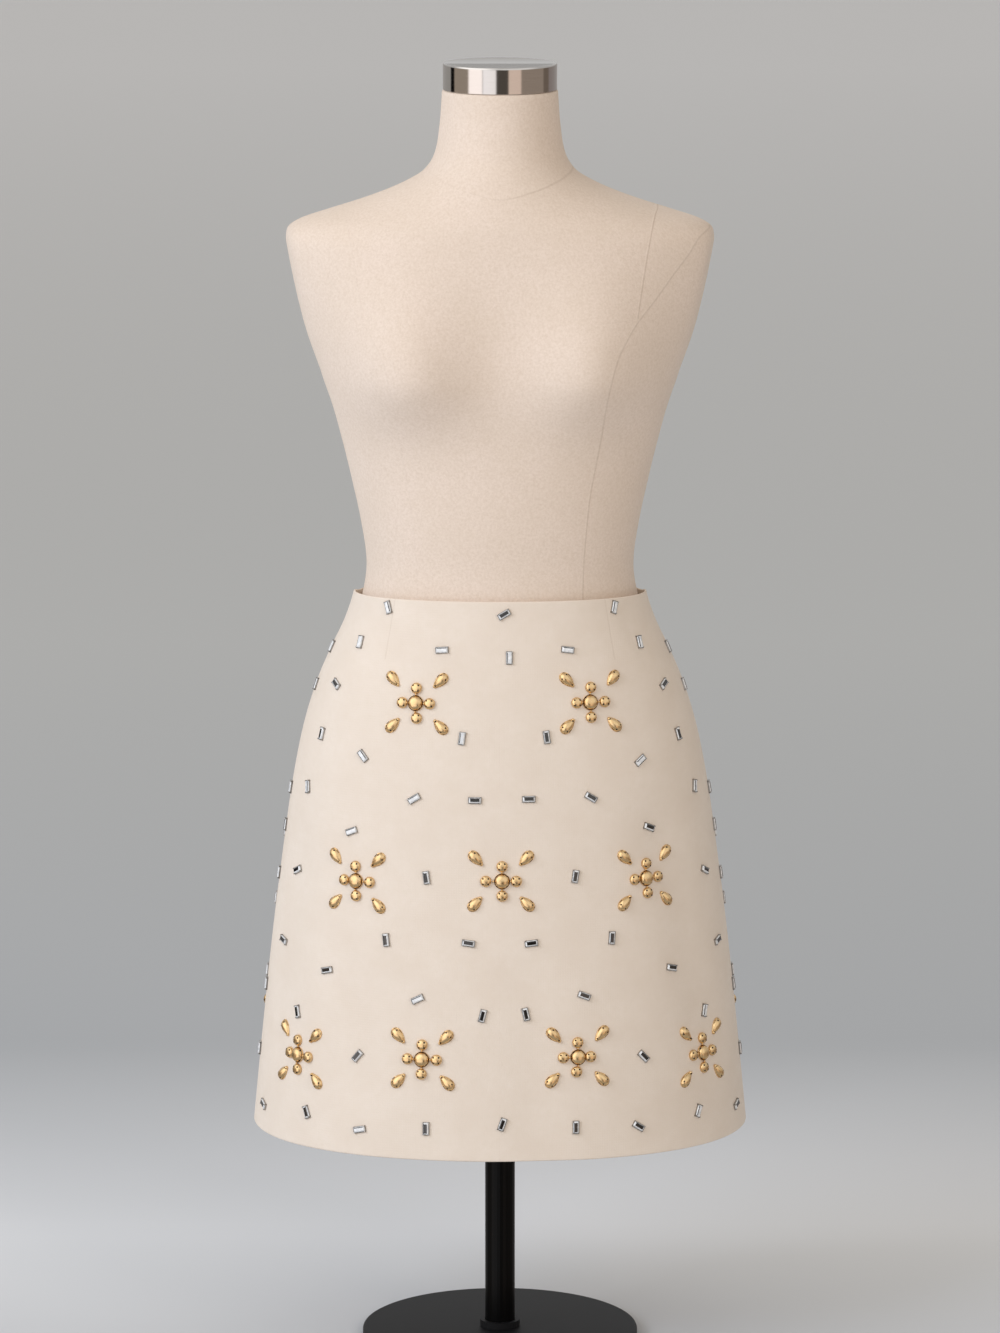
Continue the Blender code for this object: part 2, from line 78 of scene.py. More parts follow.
def finishPiece(name, bm, materials, body, smoothAngle=40):
    mesh = bpy.data.meshes.new(name)
    bm.to_mesh(mesh)
    bm.free()
    mesh.shade_smooth()
    mesh.set_sharp_from_angle(angle=math.radians(smoothAngle))
    for material in materials:
        mesh.materials.append(material)
    piece = bpy.data.objects.new(name, mesh)
    bpy.context.scene.collection.objects.link(piece)
    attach(piece, body)
    return piece


def smoothStep(low, high, value):
    u = min(1, max(0, (value - low) / (high - low)))
    return u * u * (3 - 2 * u)


# A smooth curve through one column of a table, read at a value of its first column
def readTable(table, column, at):
    last = len(table) - 1
    row = 0
    while row < last - 1 and at > table[row + 1][0]:
        row += 1

    def slope(k):
        low, high = max(0, k - 1), min(last, k + 1)
        return (table[high][column] - table[low][column]) / (table[high][0] - table[low][0])

    span = table[row + 1][0] - table[row][0]
    u = min(1, max(0, (at - table[row][0]) / span))
    start, end = table[row][column], table[row + 1][column]
    rise, fall = slope(row) * span, slope(row + 1) * span
    return ((2 * u ** 3 - 3 * u ** 2 + 1) * start + (u ** 3 - 2 * u ** 2 + u) * rise
            + (3 * u ** 2 - 2 * u ** 3) * end + (u ** 3 - u ** 2) * fall)


# Rounded oval: angle 0 is the centre front, a quarter turn is the +X side
def ovalPoint(angle, halfWidth, front, back, fullness):
    depth = front if math.cos(angle) > 0 else back
    x = halfWidth * (math.sin(angle) + fullness * math.sin(3 * angle)) / (1 - fullness)
    y = -depth * (math.cos(angle) - fullness * math.cos(3 * angle)) / (1 - fullness)
    return x, y


print("camera, light and floor")

studio = {
    "cameraPlace": (0, -5.898, 1.723), "cameraTarget": (0, 0, 0.619), "lens": 181,
    # Softboxes: degrees from the camera's side, height, distance, size, watts, colour
    "key": (-56, 2.3, 3.5, (2.4, 2.0), 79, "#EAF2FF"),
    "fill": (35, 2.3, 4.1, (1.6, 2.0), 43, "#FFF2E6"),
    "ambient": 0.69, "ambientShade": 0.06, "ambientColour": "#F8F3EA",
    # Floor colours by distance behind the stand, in metres: painted light and shade, with a painted light
    # band just behind the stand, a painted shadow band near 1.1 m, and lighter again far off where the
    # lamps fall away
    "floorPaintedLightAndShade": [(0, "#D2D5DA"), (0.35, "#E6E9EF"), (0.6, "#DBDEE4"), (1.1, "#BBBFC5"), (3.5, "#D1D4D8"),
                   (12, "#E9EBF1")],
    # What shiny metal sees level with it: degrees from the camera's side, colour
    "screens": [
        (-180, "#82807E"), (-119, "#82807E"), (-117, "#0C0B0B"), (-106, "#0C0B0B"),
        (-104.5, "#82786E"), (-69, "#82786E"), (-64, "#F6EEEC"), (-37, "#F6EEEC"),
        (-35.4, "#A9A6A6"), (-33.4, "#E3E1E4"), (-9.5, "#DFDCDD"), (-6, "#443F3B"),
        (16, "#443F3B"), (18.5, "#C0AEA2"), (42, "#BEACA0"), (45, "#7D7269"),
        (97, "#7D7269"), (100, "#5E544C"), (115, "#5E544C"), (117, "#726A68"),
        (180, "#82807E"),
    ],
    "screenStrength": 1.9, "ceiling": 0.62, "keyGlow": 1.2, "fillGlow": 0.4, "floorGlow": 0.42,
}


def lampPlace(angle, height, distance):
    turn = math.radians(angle)
    return Vector((distance * math.sin(turn), -distance * math.cos(turn), height))


def addSoftbox(name, angle, height, distance, size, watts, colour):
    light = bpy.data.lights.new(name, "AREA")
    light.shape = "RECTANGLE"
    light.size, light.size_y = size
    light.energy = watts
    light.color = srgb(colour)[:3]
    lamp = bpy.data.objects.new(name, light)
    lamp.location = lampPlace(angle, height, distance)
    aim = Vector((0, 0, 0.62)) - lamp.location
    lamp.rotation_euler = aim.to_track_quat("-Z", "Y").to_euler()
    lamp.visible_camera = False
    lamp.visible_glossy = False
    bpy.context.scene.collection.objects.link(lamp)


# The even light of the room, and for metal and crystal the screens, the ceiling with the glow
# of both softboxes, and the floor
def makeRoom():
    world = bpy.data.worlds.new("studio_room")
    bpy.context.scene.world = world
    world.use_nodes = True
    tree = world.node_tree
    tree.nodes.clear()
    direction = addNode(tree, "TexCoord").outputs["Generated"]
    axes = addNode(tree, "SeparateXYZ", {0: direction})
    toCamera = addNode(tree, "Math", {0: axes.outputs["Y"], 1: -1.0}, operation="MULTIPLY")
    angle = addNode(tree, "Math", {0: axes.outputs["X"], 1: toCamera.outputs[0]},
                    operation="ARCTAN2")
    share = addNode(tree, "Math", {0: angle.outputs[0], 1: 1 / math.tau, 2: 0.5},
                    operation="MULTIPLY_ADD")
    ramp = addNode(tree, "ValToRGB", {"Fac": share.outputs[0]})
    stops = ramp.color_ramp.elements
    rows = studio["screens"]
    stops[0].position, stops[1].position = 0, 1
    stops[0].color, stops[1].color = srgb(rows[0][1]), srgb(rows[-1][1])
    for degrees, colour in rows[1:-1]:
        stops.new(degrees / 360 + 0.5).color = srgb(colour)
    screens = addNode(tree, "VectorMath", {0: ramp.outputs["Color"], "Scale": studio["screenStrength"]},
                      operation="SCALE")

    light = None
    for lamp, glow in (("key", studio["keyGlow"]), ("fill", studio["fillGlow"])):
        way = lampPlace(*studio[lamp][:3]) - Vector((0, 0, 0.3))
        near = addNode(tree, "VectorMath", {0: direction, 1: way.normalized()},
                       operation="DOT_PRODUCT")
        spot = addNode(tree, "MapRange", {"Value": near.outputs["Value"], "From Min": 0.60,
                                          "From Max": 0.96, "To Max": glow},
                       interpolation_type="SMOOTHSTEP")
        light = addNode(tree, "Math", {0: spot.outputs[0], 1: light.outputs[0] if light else
                                       studio["ceiling"]}, operation="ADD")
    above = addNode(tree, "MapRange", {"Value": axes.outputs["Z"], "From Min": -0.02,
                                       "From Max": 0.12}, interpolation_type="SMOOTHSTEP")
    upper = addNode(tree, "MixRGB", {"Fac": above.outputs[0], "Color1": screens.outputs[0],
                                     "Color2": light.outputs[0]})
    below = addNode(tree, "MapRange", {"Value": axes.outputs["Z"], "From Min": -0.30,
                                       "From Max": -0.48}, interpolation_type="SMOOTHSTEP")
    glow = studio["floorGlow"]
    seen = addNode(tree, "MixRGB", {"Fac": below.outputs[0], "Color1": upper.outputs[0],
                                    "Color2": (glow, glow, glow, 1)})
    room = addNode(tree, "Background", {"Color": seen.outputs[0], "Strength": 1.0})
    # The room is darker below and towards the fill's side
    away = addNode(tree, "Math", {0: axes.outputs["Z"], 1: -0.45, 2: axes.outputs["X"]},
                   operation="MULTIPLY_ADD")
    strength = addNode(tree, "MapRange", {"Value": away.outputs[0], "From Min": -0.1,
                                          "From Max": 0.8, "To Min": studio["ambient"],
                                          "To Max": studio["ambientShade"]},
                       interpolation_type="SMOOTHSTEP")
    plain = addNode(tree, "Background", {"Color": srgb(studio["ambientColour"]),
                                         "Strength": strength.outputs[0]})
    ray = addNode(tree, "LightPath")
    mix = addNode(tree, "MixShader", {0: ray.outputs["Is Glossy Ray"], 1: plain.outputs[0],
                                      2: room.outputs[0]})
    addNode(tree, "OutputWorld", {"Surface": mix.outputs[0]})


def makeStudio():
    camera = bpy.data.objects.new("camera", bpy.data.cameras.new("camera"))
    camera.data.lens = studio["lens"]
    camera.data.clip_end = 200
    camera.location = studio["cameraPlace"]
    aim = Vector(studio["cameraTarget"]) - camera.location
    camera.rotation_euler = aim.to_track_quat("-Z", "Y").to_euler()
    bpy.context.scene.collection.objects.link(camera)
    bpy.context.scene.camera = camera
    bpy.context.scene.view_settings.view_transform = "Standard"
    addSoftbox("key_softbox", *studio["key"])
    addSoftbox("fill_softbox", *studio["fill"])
    makeRoom()


# Matt floor paint, pale grey, with painted light and shade along its length: a painted light band just
# behind the stand, a painted shadow band about 1.1 m behind it, and lighter towards the far end
def makeFloor():
    bm = bmesh.new()
    bmesh.ops.create_grid(bm, x_segments=1, y_segments=1, size=40)
    mesh = bpy.data.meshes.new("floor")
    bm.to_mesh(mesh)
    bm.free()
    paintedFloorTones = studio["floorPaintedLightAndShade"]
    material, tree, shader = newMaterial("floor_paint_with_painted_shade", paintedFloorTones[0][1], 0.9)
    shader.inputs["Specular IOR Level"].default_value = 0.2
    place = addNode(tree, "TexCoord").outputs["Object"]
    axes = addNode(tree, "SeparateXYZ", {0: place})
    share = addNode(tree, "Math", {0: axes.outputs["Y"], 1: paintedFloorTones[-1][0]}, operation="DIVIDE")
    ramp = addNode(tree, "ValToRGB", {"Fac": share.outputs[0]})
    stops = ramp.color_ramp.elements
    stops[0].position, stops[1].position = paintedFloorTones[0][0] / paintedFloorTones[-1][0], 1
    stops[0].color, stops[1].color = srgb(paintedFloorTones[0][1]), srgb(paintedFloorTones[-1][1])
    for far, colour in paintedFloorTones[1:-1]:
        stops.new(far / paintedFloorTones[-1][0]).color = srgb(colour)
    tree.links.new(ramp.outputs["Color"], shader.inputs["Base Color"])
    mesh.materials.append(material)
    floor = bpy.data.objects.new("floor", mesh)
    floor.visible_glossy = False
    bpy.context.scene.collection.objects.link(floor)


makeStudio()
makeFloor()

print("cloth of the skirt")

skirt = {
    "hem": 204, "waist": 689, "frontRise": 5, "backDip": 3.5, "length": 485, "fullness": 0.012,
    # Drop below the waist, half width, front depth, back depth
    "sections": [
        (0, 130.5, 91.5, 90.0), (12, 133.8, 93.5, 94.0), (30, 140.6, 97.0, 100.0),
        (50, 150.2, 101.0, 107.0), (80, 163.0, 107.5, 117.0), (120, 175.5, 115.5, 127.0),
        (170, 185.7, 124.0, 134.5), (230, 194.4, 132.0, 140.5), (310, 204.7, 142.5, 148.0),
        (400, 214.4, 153.0, 155.0), (485, 222.9, 161.5, 161.5),
    ],
    # Soft hollows: angle from centre front at the top and at the bottom, top drop, bottom drop,
    # half width in degrees, depth, and the drop over which they fade in and out
    "hollows": [
        (44, 60, 150, 440, 6.5, 3.0, 65), (6, 9, 270, 485, 5.0, 1.8, 65),
        (-36, -33, 290, 470, 6.0, 1.6, 65), (-64, -66, 180, 450, 6.0, 2.0, 65),
        (128, 122, 190, 485, 7.0, 2.4, 65), (-146, -150, 230, 485, 7.0, 2.2, 65),
        (52, 58, 12, 66, 2.6, 0.7, 22), (13, 19, 70, 128, 2.2, 0.5, 24),
        (-50, -57, 16, 70, 3.0, 0.6, 24), (-12, -16, 62, 120, 2.6, 0.4, 24),
    ],
    "clothThickness": 0.8, "rollRadius": 0.95, "rollSteps": 5,
    "facing": 26, "hemTurn": 30, "rowStep": 3.5, "columnStep": 3.1,
    "seamGap": 0.1, "zipGap": 1.4, "zipGapEnd": 16,
    # Sink of the cloth towards a seam: distance from the edge, sink
    "seamEdge": [(0, 1.9), (0, 0.9), (0.6, 0.42), (1.4, 0.14), (2.6, 0.03)],
}


@functools.lru_cache(maxsize=4096)
def skirtSection(drop):
    return [readTable(skirt["sections"], column, drop) for column in (1, 2, 3)]


def hollowDepth(angle, drop):
    depth = 0
    for topAngle, bottomAngle, top, bottom, halfWidth, deepest, fade in skirt["hollows"]:
        if drop <= top:
            continue
        along = min(1, (drop - top) / (bottom - top))
        centre = math.radians(topAngle + (bottomAngle - topAngle) * along)
        apart = (angle - centre + math.pi) % (2 * math.pi) - math.pi
        window = smoothStep(top, top + fade, drop)
        if bottom < skirt["length"]:
            window *= 1 - smoothStep(bottom - fade, bottom, drop)
        depth += deepest * window * math.exp(-(apart / math.radians(halfWidth)) ** 2 / 2)
    return depth


# Outer face of the cloth, in metres
def skirtPoint(angle, drop):
    half, front, back = skirtSection(drop)
    sunk = hollowDepth(angle, drop)
    x, y = ovalPoint(angle, half - sunk, front - sunk, back - sunk, skirt["fullness"])
    top = skirt["waist"] + skirt["frontRise"] * max(0, math.cos(angle))
    around = abs(math.degrees((angle + math.pi) % math.tau - math.pi))
    top -= skirt["backDip"] * smoothStep(90, 106, around) * (1 - smoothStep(154, 170, around))
    z = skirt["hem"] + (top - skirt["hem"]) * (1 - drop / skirt["length"])
    return Vector((x * mm, y * mm, z * mm))


# A point of the cloth with its directions across, up and out
def skirtFrame(angle, drop):
    step = 0.004
    low, high = max(0, drop - 1), min(skirt["length"], drop + 1)
    across = (skirtPoint(angle + step, drop) - skirtPoint(angle - step, drop)).normalized()
    up = (skirtPoint(angle, low) - skirtPoint(angle, high)).normalized()
    out = across.cross(up).normalized()
    return skirtPoint(angle, drop), across, out.cross(across), out


# Woven crepe, dull and dense: a soft pebbled face with no shine, paler where the light rakes
# it. Its threads are 0.35 mm apart, drawn at 1.1 mm so that they show.
def crepeMaterial(name, centreLine, dartFoot, dartSlope, dartLength):
    material, tree, shader = newMaterial(name, "#EBDED3", 0.82, **{"IOR": 1.45})
    shader.inputs["Specular IOR Level"].default_value = 0.2
    shader.inputs["Sheen Weight"].default_value = 0.28
    shader.inputs["Sheen Roughness"].default_value = 0.42
    shader.inputs["Sheen Tint"].default_value = srgb("#FFF9F3")
    cut = addNode(tree, "UVMap", uv_map="cut").outputs["UV"]
    axes = addNode(tree, "SeparateXYZ", {0: cut})
    across, drop = axes.outputs["X"], axes.outputs["Y"]

    # Slight unevenness of the dye, about 40 mm and 7 mm wide
    cloud = addNode(tree, "TexNoise", {"Vector": cut, "Scale": 26.0, "Detail": 3.0,
                                       "Roughness": 0.55})
    mottle = addNode(tree, "TexNoise", {"Vector": cut, "Scale": 170.0, "Detail": 4.0,
                                        "Roughness": 0.65})
    tone = addNode(tree, "MapRange", {"Value": cloud.outputs["Fac"], "From Min": 0.35,
                                      "From Max": 0.65})
    dyed = addNode(tree, "MixRGB", {"Fac": tone.outputs[0], "Color1": srgb("#E8DACC"),
                                    "Color2": srgb("#ECDFD2")})
    speck = addNode(tree, "MapRange", {"Value": mottle.outputs["Fac"], "From Min": 0.35,
                                       "From Max": 0.65, "To Min": 0.0, "To Max": 0.35})
    cloth = addNode(tree, "MixRGB", {"Fac": speck.outputs[0], "Color1": dyed.outputs[0],
                                     "Color2": srgb("#E6D8C8")})

    # Pressed lines: the darts on both sides, and a fainter centre line where there is one. They are sunk
    # in the relief below and darkened with painted shade.
    aside = addNode(tree, "Math", {0: across}, operation="ABSOLUTE")
    foot = addNode(tree, "Math", {0: drop, 1: dartSlope, 2: dartFoot}, operation="MULTIPLY_ADD")
    toDart = addNode(tree, "Math", {0: aside.outputs[0], 1: foot.outputs[0]}, operation="SUBTRACT")
    dartWay = addNode(tree, "Math", {0: toDart.outputs[0]}, operation="ABSOLUTE")
    past = addNode(tree, "MapRange", {"Value": drop, "From Min": dartLength * 0.9,
                                      "From Max": dartLength, "To Min": 0.0, "To Max": 0.01})
    nearest = addNode(tree, "Math", {0: dartWay.outputs[0], 1: past.outputs[0]}, operation="ADD")
    if centreLine:
        fold = addNode(tree, "Math", {0: aside.outputs[0], 1: 0.0007}, operation="ADD")
        nearest = addNode(tree, "Math", {0: nearest.outputs[0], 1: fold.outputs[0]},
                          operation="MINIMUM")
    line = addNode(tree, "MapRange", {"Value": nearest.outputs[0], "From Min": 0.0,
                                      "From Max": 0.0011, "To Min": 1.0, "To Max": 0.0},
                   interpolation_type="SMOOTHSTEP")
    # Painted shade along the pressed lines: a faint darker brown
    faint = addNode(tree, "Math", {0: line.outputs[0], 1: 0.14}, operation="MULTIPLY")
    pressedLineShade = addNode(tree, "MixRGB", {"Fac": faint.outputs[0], "Color1": cloth.outputs[0],
                                       "Color2": srgb("#B09884")})
    tree.links.new(pressedLineShade.outputs[0], shader.inputs["Base Color"])

    # Relief: crossed threads, pebble of the crepe and the pressed lines
    warp = addNode(tree, "TexWave", {"Vector": cut, "Scale": 145.0, "Distortion": 0.6,
                                     "Detail": 1.0, "Detail Scale": 2.0}, bands_direction="X")
    weft = addNode(tree, "TexWave", {"Vector": cut, "Scale": 145.0, "Distortion": 0.6,
                                     "Detail": 1.0, "Detail Scale": 2.0}, bands_direction="Y")
    weave = addNode(tree, "Math", {0: warp.outputs["Fac"], 1: weft.outputs["Fac"]},
                    operation="MULTIPLY")
    pebble = addNode(tree, "TexNoise", {"Vector": cut, "Scale": 520.0, "Detail": 2.0})
    relief = addNode(tree, "Math", {0: weave.outputs[0], 1: pebble.outputs["Fac"]}, operation="ADD")
    sunk = addNode(tree, "Math", {0: line.outputs[0], 1: -2.0, 2: relief.outputs[0]},
                   operation="MULTIPLY_ADD")
    bump = addNode(tree, "Bump", {"Height": sunk.outputs[0], "Strength": 0.30,
                                  "Distance": 0.00014})
    tree.links.new(bump.outputs[0], shader.inputs["Normal"])
    return material


# Drops and inward offsets of the cloth's rows: up the inside of the waist, over its rolled
# edge, down the face, round the hem and up its turning
def clothRows():
    radius, length = skirt["rollRadius"], skirt["length"]
    deep = 2 * radius
    steps = skirt["rollSteps"]
    rows = [(skirt["facing"], deep), (skirt["facing"] / 2, deep), (4, deep)]
    for k in range(steps + 1):
        turn = math.pi * k / steps
        rows.append((radius - radius * math.sin(turn), radius + radius * math.cos(turn)))
    count = round((length - 4) / skirt["rowStep"])
    rows += [(2 + (length - 4) * k / count, 0) for k in range(count + 1)]
    for k in range(steps + 1):
        turn = math.pi * k / steps
        rows.append((length - radius + radius * math.sin(turn), radius - radius * math.cos(turn)))
    rows += [(length - 4, deep), (length - skirt["hemTurn"] / 2, deep),
             (length - skirt["hemTurn"], deep)]
    return rows


# One panel of cloth. leftEdge and rightEdge give its angles at a drop, centreAngle is where
# its distances across are measured from, and way is 1 where they grow with the angle.
def clothPanel(name, leftEdge, rightEdge, centreAngle, way, material):
    rows = clothRows()
    widest = skirtSection(skirt["length"])[0]
    middle = max(8, round((rightEdge(300) - leftEdge(300)) * widest / skirt["columnStep"]))
    edge = skirt["seamEdge"]
    columns = middle + 2 * len(edge)

    def columnAt(i, drop):
        half = skirtSection(drop)[0]
        left, right = leftEdge(drop), rightEdge(drop)
        clear = (edge[-1][0] + 1.6) / half
        if i < len(edge):
            return left + edge[i][0] / half, edge[i][1]
        if i > columns - len(edge):
            away, sink = edge[columns - i]
            return right - away / half, sink
        share = (i - len(edge)) / (columns - 2 * len(edge))
        return left + clear + (right - left - 2 * clear) * share, 0

    bm = bmesh.new()
    uvLayer = bm.loops.layers.uv.new("cut")
    bmesh.ops.create_grid(bm, x_segments=columns, y_segments=len(rows) - 1, size=1)
    angles = [[columnAt(i, drop) for i in range(columns + 1)] for drop, _ in rows]
    flat = [acrossAt(centreAngle, drop, way, [angle for angle, _ in angles[j]])
            for j, (drop, _) in enumerate(rows)]
    places = {}
    for vert in bm.verts:
        i = round((vert.co.x + 1) / 2 * columns)
        j = round((1 - vert.co.y) / 2 * (len(rows) - 1))
        drop, deep = rows[j]
        angle, sink = angles[j][i]
        point, _, _, out = skirtFrame(angle, drop)
        vert.co = point - out * max(sink, deep) * mm
        places[vert] = (flat[j][i], drop * mm)
    for face in bm.faces:
        for loop in face.loops:
            loop[uvLayer].uv = places[loop.vert]
    bmesh.ops.recalc_face_normals(bm, faces=bm.faces)
    panel = finishPiece(name, bm, [material], "root", 180)
    wall = panel.modifiers.new("cloth thickness", "SOLIDIFY")
    wall.thickness = skirt["clothThickness"] * mm
    wall.offset = -1
    return panel


# Distances in metres along the cloth from a centre line to each angle of a row
def acrossAt(centreAngle, drop, way, angles):
    step = math.radians(1.5)
    ahead, behind = [0.0], [0.0]
    for side, marks in ((1, ahead), (-1, behind)):
        last = skirtPoint(centreAngle, drop)
        for k in range(1, 130):
            point = skirtPoint(centreAngle + side * k * step, drop)
            marks.append(marks[-1] + (point - last).length)
            last = point
    result = []
    for angle in angles:
        apart = angle - centreAngle
        marks = ahead if apart >= 0 else behind
        k, share = divmod(abs(apart) / step, 1)
        k = min(int(k), len(marks) - 2)
        length = marks[k] + (marks[k + 1] - marks[k]) * share
        result.append(way * math.copysign(length, apart))
    return result


def skirtPanels():
    frontCloth = crepeMaterial("wool_crepe_front", True, 0.097, 0.16, 0.058)
    backCloth = crepeMaterial("wool_crepe_back", False, 0.078, 0.03, 0.110)
    quarter = math.pi / 2

    def sideGap(drop):
        return skirt["seamGap"] / 2 / skirtSection(drop)[1]

    # The centre back seam stands open at its top, round the zip's slider
    def backGap(drop):
        shut = smoothStep(skirt["zipGapEnd"] - 2, skirt["zipGapEnd"] + 6, drop)
        half = skirt["zipGap"] + (skirt["seamGap"] / 2 - skirt["zipGap"]) * shut
        return half / skirtSection(drop)[0]

    front = clothPanel("skirt_front_cloth", lambda d: sideGap(d) - quarter,
                       lambda d: quarter - sideGap(d), 0, 1, frontCloth)
    right = clothPanel("skirt_back_right_cloth", lambda d: quarter + sideGap(d),
                       lambda d: math.pi - backGap(d), math.pi, -1, backCloth)
    left = clothPanel("skirt_back_left_cloth", lambda d: -math.pi + backGap(d),
                      lambda d: -quarter - sideGap(d), -math.pi, -1, backCloth)
    return front, left, right


frontPanel, backLeftPanel, backRightPanel = skirtPanels()
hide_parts("skirt_front")
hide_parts("skirt_back_left")
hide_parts("skirt_back_right")

print("gold beads and crystal baguettes")

beading = {
    # Distance to the right of the centre front and drop below the waist
    "frontOrnaments": [
        (-74, 88), (80.5, 87.5), (0.8, 240), (-130.5, 245), (134, 243), (-68.5, 396.5),
        (67.5, 394.5), (-194.5, 405.5), (197.5, 404.5),
    ],
    # Distance from the centre back, on both sides, and drop
    "backOrnaments": [(110, 88), (62, 242), (190, 242), (126, 399), (245, 402)],
    # Distance to the right, drop, lean from upright to the right, and 1 where the table gets the painted
    # bright reflection, 0 where it gets the painted dark one
    "frontStones": [
        (3, 11, 60, 0), (-103, 8, -23, 1), (106, 8, 20, 1), (-134, 40, 1, 1), (134, 40, 0, 1),
        (7, 48, 0, 1), (-51, 42, 86, 1), (60, 42, -83, 1), (-33, 117, 7, 1), (41, 116, -7, 0),
        (-174, 122, 5, 0), (174, 122, -10, 0), (-125, 136, -44, 1), (128, 140, 54, 1),
        (-21, 170, 90, 0), (25, 169, 90, 0), (-76, 170, 58, 1), (80, 169, -58, 0),
        (-191, 170, -14, 1), (196, 170, 15, 1), (-135, 202, 68, 1), (137, 199, -68, 0),
        (-64, 238, -10, 0), (66, 237, 10, 0), (-101, 294, -8, 0), (100, 292, 6, 0),
        (-26, 294, -83, 0), (27, 294, 83, 0), (-160, 326, 76, 0), (160, 324, -76, 0),
        (-73, 344, 63, 1), (74, 341, -68, 0), (-14, 357, 14, 0), (21, 356, -12, 0),
        (-197, 368, -20, 0), (202, 368, 16, 1), (-129, 398, 39, 0), (129, 398, -44, 0),
        (1, 452, 20, 0), (-65, 457, -1, 0), (66, 456, 1, 0), (-127, 462, 77, 1),
        (124, 459, -57, 0), (-183, 454, -25, 0), (189, 454, 26, 1),
    ],
    # Near the side seams, on both halves, leaning to the outside
    "edgeStones": [
        (189, 50, 0, 1), (160, 78, 60, 0), (207, 84, 5, 1), (240, 178, 0, 1), (246, 212, 4, 1),
        (206, 245, 115, 0), (256, 256, 0, 1), (225, 310, 75, 0), (273, 358, 0, 1),
        (284, 418, 0, 1), (253, 461, 70, 0),
    ],
    "backStones": [
        (58, 12, -12, 1), (148, 14, 10, 0), (30, 50, 8, 0), (70, 78, 96, 1), (158, 52, -15, 0),
        (40, 112, 0, 0), (168, 104, 30, 1), (205, 118, -10, 0), (70, 140, 60, 0),
        (122, 146, 100, 1), (26, 168, 90, 0), (178, 172, 0, 1), (228, 178, 12, 0),
        (132, 200, 70, 0), (24, 214, -8, 1), (248, 222, 5, 0), (126, 250, 5, 0),
        (16, 268, 0, 0), (262, 284, 0, 1), (90, 300, 60, 0), (28, 306, 98, 1),
        (152, 296, -20, 0), (222, 306, 110, 0), (60, 346, 10, 1), (184, 340, 75, 0),
        (276, 350, 5, 0), (22, 392, -10, 0), (70, 408, 45, 1), (186, 402, 5, 0),
        (34, 448, 110, 0), (92, 457, 0, 0), (152, 459, 95, 1), (208, 456, 10, 0),
        (264, 458, 70, 0),
    ],
    "roundOffset": 12.8, "dropAcross": 21.5, "dropUp": 19.5, "dropTilt": 44,
}

bead = {
    # Radius and height of a turned profile from the cup's foot to the crown
    "domeProfile": [(6.7, -0.5), (7.05, 0.3), (7.05, 1.1), (6.85, 1.5), (6.6, 1.5), (6.4, 1.1),
                    (6.3, 1.8), (6.0, 2.9), (5.2, 4.0), (3.9, 4.8), (2.1, 5.25), (0, 5.4)],
    "grooveFrom": 6.32, "grooveTo": 6.7,
    "roundProfile": [(4.6, -0.5), (4.95, 0.4), (5.0, 1.4), (4.75, 2.3), (4.1, 3.2), (2.9, 3.85),
                     (1.5, 4.15), (0, 4.2)],
    "domeSides": 32, "roundSides": 20,
    "dropLength": 16.0, "dropWidth": 9.8, "dropHeight": 4.4, "dropRim": 0.45,
    "holeRadius": 0.85, "holeSides": 8, "linkRadius": 0.95,
}

stone = {
    "length": 11.6, "width": 5.8, "rim": 0.30, "rimHeight": 1.4,
    "crownFoot": 0.9, "crown": 2.2, "crownTaper": (0.76, 0.88), "step": 0.75, "stepHeight": 0.4,
}


# Satin gold plate over cast brass: warm, evenly blurred reflections, slightly uneven
def goldMaterial():
    material, tree, shader = newMaterial("satin_gold_plate", "#EBCB94", 0.34, **{"Metallic": 1.0})
    place = addNode(tree, "TexCoord").outputs["Object"]
    patch = addNode(tree, "TexNoise", {"Vector": place, "Scale": 420.0, "Detail": 3.0})
    tone = addNode(tree, "MixRGB", {"Fac": patch.outputs["Fac"], "Color1": srgb("#D9B077"),
                                    "Color2": srgb("#ECD1A5")})
    tree.links.new(tone.outputs[0], shader.inputs["Base Color"])
    rough = addNode(tree, "MapRange", {"Value": patch.outputs["Fac"], "To Min": 0.20, "To Max": 0.34})
    tree.links.new(rough.outputs[0], shader.inputs["Roughness"])
    grain = addNode(tree, "TexNoise", {"Vector": place, "Scale": 1500.0, "Detail": 2.0})
    bump = addNode(tree, "Bump", {"Height": grain.outputs["Fac"], "Strength": 0.25,
                                  "Distance": 0.00008})
    tree.links.new(bump.outputs[0], shader.inputs["Normal"])
    return material


# Painted shade in the sewing holes and the grooves: a dark brown, dull material standing in for the shade
# in these hollows
def hollowShadeMaterial():
    material, tree, shader = newMaterial("painted_hollow_shade", "#2A190C", 0.7, **{"Metallic": 0.2})
    place = addNode(tree, "TexCoord").outputs["Object"]
    patch = addNode(tree, "TexNoise", {"Vector": place, "Scale": 900.0})
    tone = addNode(tree, "MixRGB", {"Fac": patch.outputs["Fac"], "Color1": srgb("#1F1208"),
                                    "Color2": srgb("#3A2412")})
    tree.links.new(tone.outputs[0], shader.inputs["Base Color"])
    return material


# Rhodium plated claw setting: bright grey metal, a little worn
def settingMaterial():
    material, tree, shader = newMaterial("rhodium_plate", "#A9A6A2", 0.34, **{"Metallic": 1.0})
    place = addNode(tree, "TexCoord").outputs["Object"]
    patch = addNode(tree, "TexNoise", {"Vector": place, "Scale": 500.0})
    tone = addNode(tree, "MixRGB", {"Fac": patch.outputs["Fac"], "Color1": srgb("#8C8884"),
                                    "Color2": srgb("#C4C1BD")})
    tree.links.new(tone.outputs[0], shader.inputs["Base Color"])
    return material
